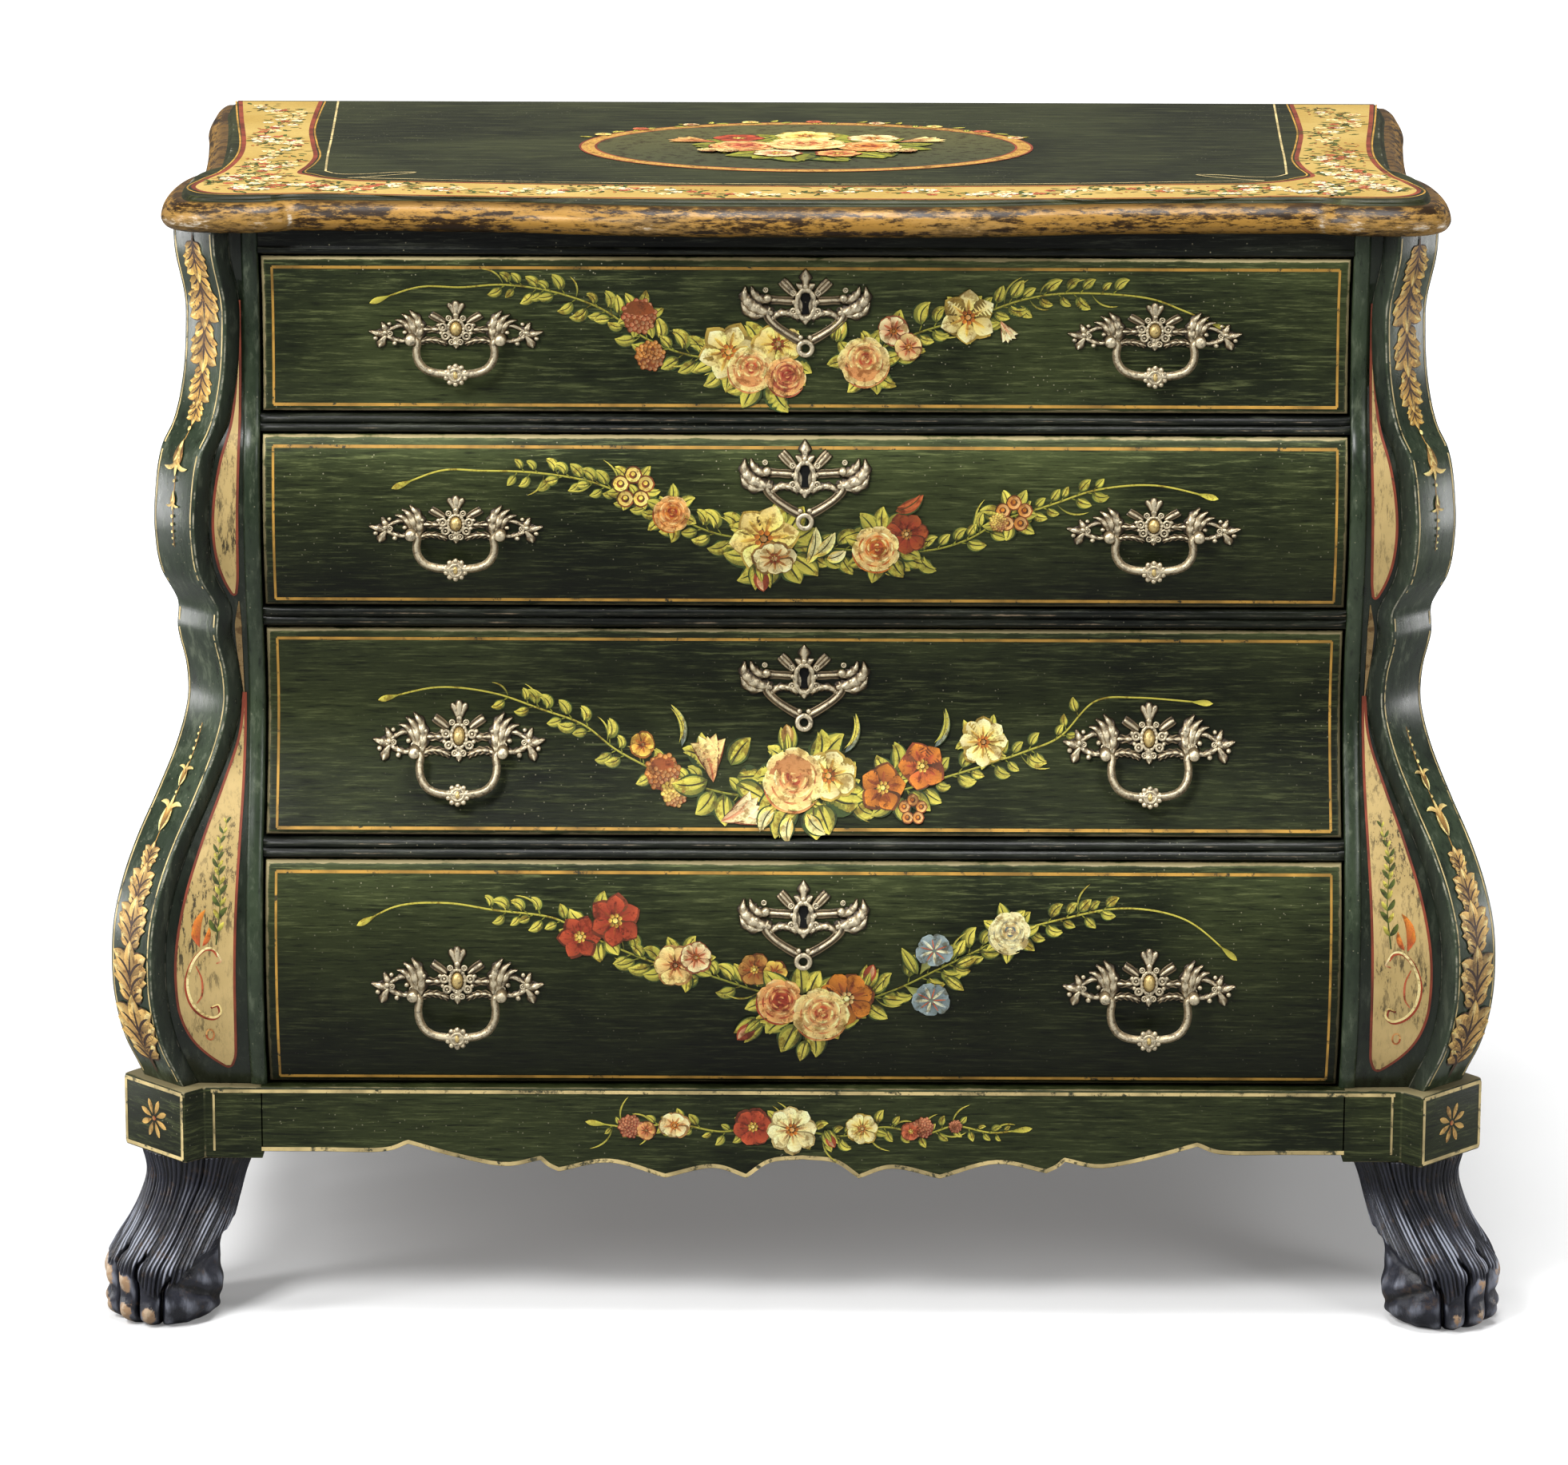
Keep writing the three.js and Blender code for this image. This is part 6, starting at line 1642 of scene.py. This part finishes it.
def reserve(sheet, rows, dip):
    """A cream field between two curved edges, with dark red lines along them."""
    table = np.array(rows)[::-1]
    up = np.linspace(table[0, 0], table[-1, 0], 90)
    inner, outer = smooth_curve(table[:, 0], table[:, 1:])(up).T
    across = inner[:, None] + (outer - inner)[:, None] * np.linspace(0, 1, 7)
    sheet.field(stacked(across, up[:, None]), slot=ON_CREAM, groups=4)
    for edge in (inner, outer):
        sheet.line(np.c_[edge, up], 1.9, ON_RED)
    foot = ((inner[0], up[0]), ((inner[0] + outer[0]) / 2, up[0] - dip), (outer[0], up[0]))
    sheet.line(smooth_path(foot, 9), 1.7, ON_RED)


SPRIG = ((431, 292), (428, 320), (429, 342), (429.5, 358), (424, 378))
SCROLL = ((429, 284), (433, 289), (440, 288.5), (448, 279), (452.5, 264), (450, 249), (443, 239.5),
          (434, 236), (428.5, 240), (430, 246), (435, 244.5))


def reserve_scroll(sheet):
    """A green sprig, an orange flame at its foot and a white and red scroll with a little ring."""
    sheet.ribbon(SPRIG, (1.1, 0.8, 0.5), LEAF_DARK, LEAF_OLIVE)
    path = smooth_path(SPRIG, 13)[1:]
    side = np.tile((-1, 1), 6)
    length = np.linspace(11, 5.5, 12)
    left, right = (turned(92 + side * turn) * length[:, None] for turn in (34, -30))
    sheet.strokes(path, path + left, length * 0.36, LEAF_DARK, LEAF_GREEN, 0.08)
    sheet.strokes(path, path + right * 0.8, length * 0.3, LEAF_GREEN, LEAF_YELLOW)
    sheet.strokes([(443, 290), (445, 294), (441, 291)], [(438.5, 318), (447, 305), (436, 305)], (6.5, 4, 4),
                  CORAL, ORANGE, (0.16, 0.1, -0.1), 0.9, 0.8)
    sheet.ribbon(np.array(SCROLL) + (0.9, -1), (1.2, 2.8, 3, 2.6, 1.4), CORAL, CRIMSON)
    sheet.ribbon(SCROLL, (0.9, 1.9, 2.1, 1.8, 0.9), IVORY, CREAM)
    sheet.ribbon([(446, 276), (442, 266), (442, 254), (446, 247)], (0.7, 1.6, 0.8), CORAL, PINK)
    sheet.ribbon([(430, 285), (427.5, 280), (431, 278)], (1.4, 1), IVORY, CORAL)
    sheet.ribbon((437, 222) + turned(np.arange(0, 361, 30)) * (2.8, 4.2), (1.3, 1.3), PEACH, CORAL)


def post_ornament(name, side):
    """Leaf chains, bells and dots on the canted face, pale lines near its edges, and the two reserves."""
    truss = Painting(60 + int(side))
    for place in (TRUSS_LINE, TRUSS_FACE - TRUSS_LINE):
        for low, high in ((184, 531), (552, 812)):
            up = heights(low, high, 8)
            truss.line(stacked(place, up), 1.3, ON_PALE)
    middle = TRUSS_FACE / 2
    for first, last in ((684, 582), (352, 446)):
        truss.ribbon([(middle, first), (middle, last)], (0.8, 0.6), OCHRE, OCHRE)
    leaf_chain(truss, UPPER_LEAVES, -90, (0.045, 0.016, 0.005), (0.26, 0.12, 0.022), (0.76, 0.46, 0.1))
    leaf_chain(truss, LOWER_LEAVES, 90, (0.04, 0.015, 0.007), (0.24, 0.12, 0.03), (0.7, 0.45, 0.14))
    bell_row(truss, UPPER_BELLS, -90, OCHRE, CREAM)
    bell_row(truss, LOWER_BELLS, 90, OCHRE, CREAM)
    for up, size in UPPER_DOTS + LOWER_DOTS:
        truss.dots((middle, up), size, CREAM, CREAM)
    stile = Painting(70 + int(side))
    stile.ribbon([(414, 541), (415.2, 522), (414.6, 500), (412.5, 470)], (0.6, 5, 4, 0.6),
                 (0.24, 0.16, 0.06), (0.3, 0.2, 0.09))
    reserve(stile, UPPER_RESERVE, 1)
    reserve(stile, LOWER_RESERVE, 1.5)
    reserve_scroll(stile)
    block = Painting(80 + int(side))
    corners = [(2.4, 127.8), (BLOCK_FACE - 2.4, 127.8), (BLOCK_FACE - 2.4, 177.4), (2.4, 177.4)]
    for first, last in zip(corners, corners[1:] + corners[:1]):
        block.line(np.linspace(first, last, 5), 2.8, ON_PALE)
    centre = np.array([BLOCK_FACE / 2, 152.5])
    out = turned(evenly(8, 22.5))
    block.strokes(centre + out * 3, centre + out * 15.5, 4.4, (0.42, 0.24, 0.06), (0.66, 0.42, 0.12), 0, 1.3)
    block.dots(centre, 4, CORAL, OCHRE)
    on_truss = on_canted(side, (TRUSS_START + TRUSS_RETURN, -TRUSS_RETURN), truss_swell)
    on_block = on_canted(side, BLOCK_CORNERS[1], np.zeros_like)
    return laid(f"{name}_post_ornament", "carcass", "reserve_paint", (truss, on_truss),
                (stile, on_stile(side)), (block, on_block))


# Ornament of the apron

SPRAY_FAR = 436


def apron_spray():
    """A spray of small flowers, and worn gold lines along the edges of the apron."""
    sheet = Painting(90)
    along, low = apron_edge(BLOCK_INNER + 1)
    inside = np.abs(along) < SPRAY_FAR
    sheet.line(np.c_[along, low + 2.4][inside], 3, ON_PALE)
    sheet.line(np.linspace((-438, PLINTH_TOP - 3), (438, PLINTH_TOP - 3), 9), 2.6, ON_PALE)
    for edge in (-SPRAY_FAR, SPRAY_FAR):
        sheet.line(np.linspace((edge, 131), (edge, 176), 5), 1.6, ON_PALE)
    sheet.vine(((0, 148), (-30, 152), (-60, 147), (-95, 153), (-126, 150), (-158, 154)), 12, (14, 9),
               0.05, 44)
    sheet.vine(((0, 148), (30, 144), (60, 151), (90, 146), (113, 152), (140, 147), (167, 150)), 12, (14, 8),
               0.05, 44)
    sheet.cluster((-128, 151), 9, CRIMSON, PINK)
    sheet.daisy((-116, 148), 7, 5, PINK, PEACH, RUST)
    sheet.daisy((-95, 152), 12, 6, PEACH, IVORY, ORANGE, 10, squash=0.75)
    sheet.daisy((-37, 151), 14, 6, CRIMSON, CORAL, BUTTER, 10)
    sheet.daisy((-8, 149), 18, 8, CREAM, IVORY, ORANGE, 5)
    sheet.bud((20, 142), 7, -60, CORAL)
    sheet.daisy((44, 150), 12, 7, BUTTER, IVORY, OCHRE, 5)
    sheet.cluster((89, 151), 8, CRIMSON, PINK)
    sheet.daisy((80, 148), 7, 5, CORAL, PINK, BUTTER)
    sheet.cluster((113, 152), 5, CRIMSON, PINK)
    return laid("painted_apron_spray", "carcass", "case_paint",
                (sheet, lambda across, up, lift: stacked(across, APRON_FRONT - lift, up)))


# Ornament of the top

TOP_FIRST_LIFT = 0.05
BAND_OUTER = ((0, -12), (110, -11), (200, -6), (300, 2), (350, 9), (392, 5), (430, 8), (447, 36), (441, 80),
              (432, 120), (428, 190), (432, 270), (446, 400), (457, 507))
BAND_INNER = ((0, 48), (110, 50), (200, 56), (285, 65), (322, 68), (350, 80), (368, 98), (376, 112),
              (372, 150), (371, 196), (378, 260), (386, 339), (390, 430), (392, 507))
THIN_LINE_FRONT = ((0, 60), (110, 62), (200, 68), (300, 80), (338, 84))
THIN_LINE_SIDE = ((357, 117), (362, 200), (367, 302), (378, 507))
CORNER_LOOP = ((338, 84), (322, 90), (300, 103), (290, 113), (306, 112), (328, 103), (346, 103), (357, 117))
MEDALLION = (0, 255)
MEDALLION_SEMI = (167, 128)
FRAME_WIDTH = 12


def band_place(along, across):
    """Places in the yellow band: along runs from -1 to 1 round the top, across from its outer edge to its
    inner one."""
    steps = np.arange(len(BAND_OUTER)) / (len(BAND_OUTER) - 1)
    outer, inner = (smooth_curve(steps, edge)(np.abs(along)) for edge in (BAND_OUTER, BAND_INNER))
    place = outer + (inner - outer) * np.asarray(across)[..., None]
    return place * stacked(np.where(along < 0, -1, 1), 1)


def winding(along):
    """Where the stem runs across the band."""
    return 0.5 + 0.2 * np.sin(along * 46)


def band_ornament(sheet):
    """A yellow band with dark red edges, and along it a winding stem with many leaves, small flowers and red
    berries."""
    along = np.linspace(-1, 1, 320)
    whole = band_place(*np.broadcast_arrays(along[:, None], np.linspace(0, 1, 7)))
    sheet.field(whole, slot=ON_YELLOW, groups=2)
    for edge, outside in ((0, -0.055), (1, 1.055)):
        sheet.line(band_place(along, edge), 3.4, ON_RED)
        sheet.line(band_place(along, outside), 1.3, ON_GOLD)
    share = np.linspace(-0.985, 0.985, 460)
    sheet.line(band_place(share, winding(share)), 0.9, 0, LEAF_DARK)
    for dark, light, size, wide, total in ((LEAF_DARK, LEAF_GREEN, 10, 3.4, 820), (RUST, OCHRE, 8, 2.8, 260),
                                           (UMBER, LEAF_GREEN, 7, 2.4, 420)):
        where = sheet.random.uniform(-0.985, 0.985, total)
        off = np.clip(winding(where) + sheet.random.normal(0, 0.19, total), 0.14, 0.86)
        foot = band_place(where, off)
        angle = sheet.random.uniform(0, 360, total)
        length = size * sheet.random.uniform(0.6, 1.3, total)
        sheet.strokes(foot, foot + turned(angle) * length[:, None], wide, dark, light,
                      sheet.random.uniform(-0.15, 0.15, total), 1, 0.8)
    for tip, root, size, total in (
            (IVORY, PEACH, 5.2, 170), (PINK, CRIMSON, 4.4, 100), (WHITE, CREAM, 4.6, 120)):
        where = sheet.random.uniform(-0.98, 0.98, total)
        off = np.clip(winding(where) + sheet.random.normal(0, 0.12, total), 0.2, 0.8)
        centre = np.repeat(band_place(where, off), 5, axis=0)
        out = turned(np.tile(evenly(5), total) + np.repeat(sheet.random.uniform(0, 72, total), 5))
        sheet.strokes(centre + out * 0.6, centre + out * size, size * 0.85, root, tip, 0, 1.6, 0.6)
        sheet.dots(band_place(where, off), 1.9, RUST, ORANGE)
    where = sheet.random.uniform(-0.98, 0.98, 170)
    sheet.dots(band_place(where, sheet.random.uniform(0.15, 0.85, 170)), 2.4, CRIMSON, CORAL)


def thin_lines(sheet):
    """A thin yellow line inside the band, with a slim leaf loop at each front corner."""
    front = np.array(THIN_LINE_FRONT)
    sheet.line(smooth_path(np.vstack([front[:0:-1] * (-1, 1), front]), 80), 1.4, ON_PALE)
    for side in SIDES.values():
        sheet.line(smooth_path(np.array(THIN_LINE_SIDE) * (side, 1), 60), 1.6, ON_PALE)
        sheet.line(smooth_path(np.array(CORNER_LOOP) * (side, 1), 96), 1.4, ON_PALE)


def medallion(sheet):
    """An oval bouquet of common garden flowers in a gold frame, with small blossoms along its back."""
    centre = np.array(MEDALLION)
    semi = np.array(MEDALLION_SEMI)
    turn = np.linspace(0, 360, 97)
    rim = turned(turn)
    tone = mixed((0.045, 0.05, 0.02), (0.1, 0.095, 0.03), 0.5 + 0.5 * rim[:, 1])
    inside = centre + rim[:, None] * semi * np.linspace(0.02, 1, 5)[:, None]
    sheet.field(inside, tone[:, None], groups=2)
    sheet.ribbon(centre + rim * semi, (FRAME_WIDTH,), OCHRE, OCHRE, 193)
    for edge in (FRAME_WIDTH / 2, -FRAME_WIDTH / 2):
        sheet.line(centre + rim * (semi + edge), 1.8, ON_RED)
    sheet.dots(centre + turned(evenly(90)) * semi, 3.2, RUST, BUTTER)
    spots = centre + turned(np.arange(22, 160, 5.5)) * (semi + 8)
    sheet.leaves(spots, spots + turned(sheet.random.uniform(0, 360, len(spots))) * 12, 5)
    for place, tip, root in zip(spots[::3], (IVORY, PINK, CREAM) * 4, (PINK, CORAL, BUTTER) * 4):
        sheet.daisy(place, 6.5, 5, root, tip, RUST)
    sheet.sprays(centre + (0, -10), 62, 14, 0, LEAF_OLIVE, 1.35)
    sheet.sprays(centre + (-48, 4), 34, 9, 20, LEAF_OLIVE, 1.4)
    sheet.sprays(centre + (50, 2), 34, 9, 5, LEAF_OLIVE, 1.4)
    sheet.tulip(centre + (-86, 26), 40, 150, CORAL, PEACH)
    sheet.tulip(centre + (88, 30), 40, 30, CORAL, CREAM)
    sheet.daisy(centre + (0, 52), 24, 8, BUTTER, CREAM, ORANGE)
    sheet.daisy(centre + (-52, 38), 19, 6, CRIMSON, CORAL, BUTTER)
    sheet.daisy(centre + (52, 38), 20, 7, PEACH, IVORY, ORANGE)
    sheet.rose(centre + (-48, -6), 27, PEACH, PINK, CRIMSON, 10)
    sheet.rose(centre + (48, -8), 26, PEACH, ORANGE, CRIMSON, 40)
    sheet.rose(centre + (0, 4), 32, CREAM, PEACH, CORAL, 25)
    sheet.daisy(centre + (-22, -46), 18, 7, PINK, IVORY, BUTTER)
    sheet.daisy(centre + (24, -48), 17, 7, CORAL, PEACH, BUTTER)
    for across in (-74, -60, 62, 76):
        sheet.cluster(centre + (across, -42 + abs(across) * 0.15), 9, RUST, CREAM)


def top_ornament():
    sheet = Painting(100)
    sheet.level = TOP_FIRST_LIFT
    band_ornament(sheet)
    thin_lines(sheet)
    medallion(sheet)
    return laid("painted_top", "carcass", "top_paint",
                (sheet, lambda across, back, lift: stacked(across, back, TOP_FACE + lift)))


for number in DRAWERS:
    garland(number)
for name, side in SIDES.items():
    post_ornament(name, side)
apron_spray()
top_ornament()


# Stage, light and camera

FLOOR_HALF = 60
AMBIENT = 0.22


def stage_floor():
    """A wide pale floor, lifted to white for the camera except near the chest, where it keeps the shadow."""
    finish = Finish("pale_floor")
    grain = finish.noise(0.8, 2)
    path = finish.tree.nodes.new("ShaderNodeLightPath")
    seen = Signal(finish, path.outputs["Is Camera Ray"])
    shown = finish.mix(grain, (0.9, 0.9, 0.9), (0.92, 0.92, 0.92))
    finish.set(Base_Color=finish.mix(seen, (0.3, 0.3, 0.3), shown), Roughness=0.9, Specular_IOR_Level=0.1)
    reach = finish.node("ShaderNodeVectorMath", {"operation": "LENGTH"}, {0: finish.place}, 1)
    glow = seen * (0.12 + 0.88 * reach.step(0.9, 2.6))
    finish.set(Emission_Color=finish.mix(glow, (0, 0, 0), (1, 1, 1)), Emission_Strength=1)
    corners = [(x * FLOOR_HALF, y * FLOOR_HALF, 0) for x, y in ((-1, -1), (1, -1), (1, 1), (-1, 1))]
    mesh = bpy.data.meshes.new("floor")
    mesh.from_pydata(corners, [], [(0, 1, 2, 3)])
    mesh.materials.append(finish.material)
    floor = bpy.data.objects.new("floor", mesh)
    bpy.context.scene.collection.objects.link(floor)


def softbox(name, place, target, size, watts):
    """An area lamp that looks from its place to a target, in metres."""
    data = bpy.data.lights.new(name, "AREA")
    data.shape = "RECTANGLE"
    data.size, data.size_y = size
    data.energy = watts
    lamp = bpy.data.objects.new(name, data)
    lamp.location = place
    lamp.rotation_euler = (Vector(target) - Vector(place)).to_track_quat("-Z", "Y").to_euler()
    bpy.context.scene.collection.objects.link(lamp)


def studio():
    stage_floor()
    softbox("key_light", (-2.3, -2.9, 3.9), (0, 0, 0.5), (1.4, 1.4), 170)
    softbox("fill_light", (3.2, -3.4, 2.4), (0, 0, 0.45), (1.4, 1.4), 50)
    softbox("top_light", (0.2, -0.5, 4.4), (0, 0, 0.8), (1.6, 1.6), 170)
    softbox("side_light", (-3, -1.3, 1.9), (-0.45, 0, 0.45), (0.5, 1.6), 42)
    softbox("left_sheen", (-3, 0.4, 0.32), (-0.45, -0.1, 0.4), (1.1, 0.5), 22)
    softbox("right_sheen", (3, 0.4, 0.32), (0.45, -0.1, 0.4), (1.1, 0.5), 18)
    world = bpy.data.worlds.new("studio")
    world.use_nodes = True
    tree = world.node_tree
    tree.nodes.clear()
    light, shown = (tree.nodes.new("ShaderNodeBackground") for _ in range(2))
    for background, strength in ((light, AMBIENT), (shown, 1)):
        background.inputs["Color"].default_value = (1, 1, 1, 1)
        background.inputs["Strength"].default_value = strength
    path = tree.nodes.new("ShaderNodeLightPath")
    blend = tree.nodes.new("ShaderNodeMixShader")
    for index, source in enumerate((path.outputs["Is Camera Ray"], light.outputs[0], shown.outputs[0])):
        tree.links.new(source, blend.inputs[index])
    output = tree.nodes.new("ShaderNodeOutputWorld")
    tree.links.new(blend.outputs[0], output.inputs[0])
    bpy.context.scene.world = world


CAMERA_DISTANCE = 4200
CAMERA_HEIGHT = 1470.2
CAMERA_ACROSS = -1.7
CAMERA_PITCH = math.radians(12.25)
CAMERA_YAW = math.radians(0.183)
CAMERA_ROLL = math.radians(0.157)
FOCAL_PIXELS = 7331
PHOTO_WIDTH = 1962
SENSOR_WIDTH = 36
CAMERA_SHIFT = -0.1


def camera():
    """Stands in front and a little above, pitched down, with a small vertical shift."""
    data = bpy.data.cameras.new("photo_camera")
    data.sensor_fit = "HORIZONTAL"
    data.sensor_width = SENSOR_WIDTH
    data.lens = FOCAL_PIXELS / PHOTO_WIDTH * SENSOR_WIDTH
    data.shift_y = CAMERA_SHIFT
    data.clip_end = 200
    made = bpy.data.objects.new("photo_camera", data)
    aimed = Matrix.Rotation(CAMERA_YAW, 4, "Z") @ Matrix.Rotation(math.pi / 2 - CAMERA_PITCH, 4, "X")
    place = placed([CAMERA_ACROSS, -CAMERA_DISTANCE, CAMERA_HEIGHT])
    made.matrix_world = Matrix.Translation(Vector(place)) @ aimed @ Matrix.Rotation(CAMERA_ROLL, 4, "Z")
    bpy.context.scene.collection.objects.link(made)
    bpy.context.scene.camera = made


studio()
camera()
bpy.context.scene.view_settings.view_transform = "Standard"


# Finishes of the CAD pieces that stay

def dress(node, material):
    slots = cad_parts[node].material_slots
    if not slots:
        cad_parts[node].data.materials.append(material)
    for slot in slots:
        slot.material = material


dress("back_panel", BACK_WOOD)
dress("carcass_bottom", BOARD_WOOD)
for number in DRAWERS:
    for board in ("left_side", "right_side", "back", "bottom"):
        dress(f"drawer_{number}_{board}", DRAWER_WOOD)
    dress(f"drawer_{number}_lock", LOCK_IRON)
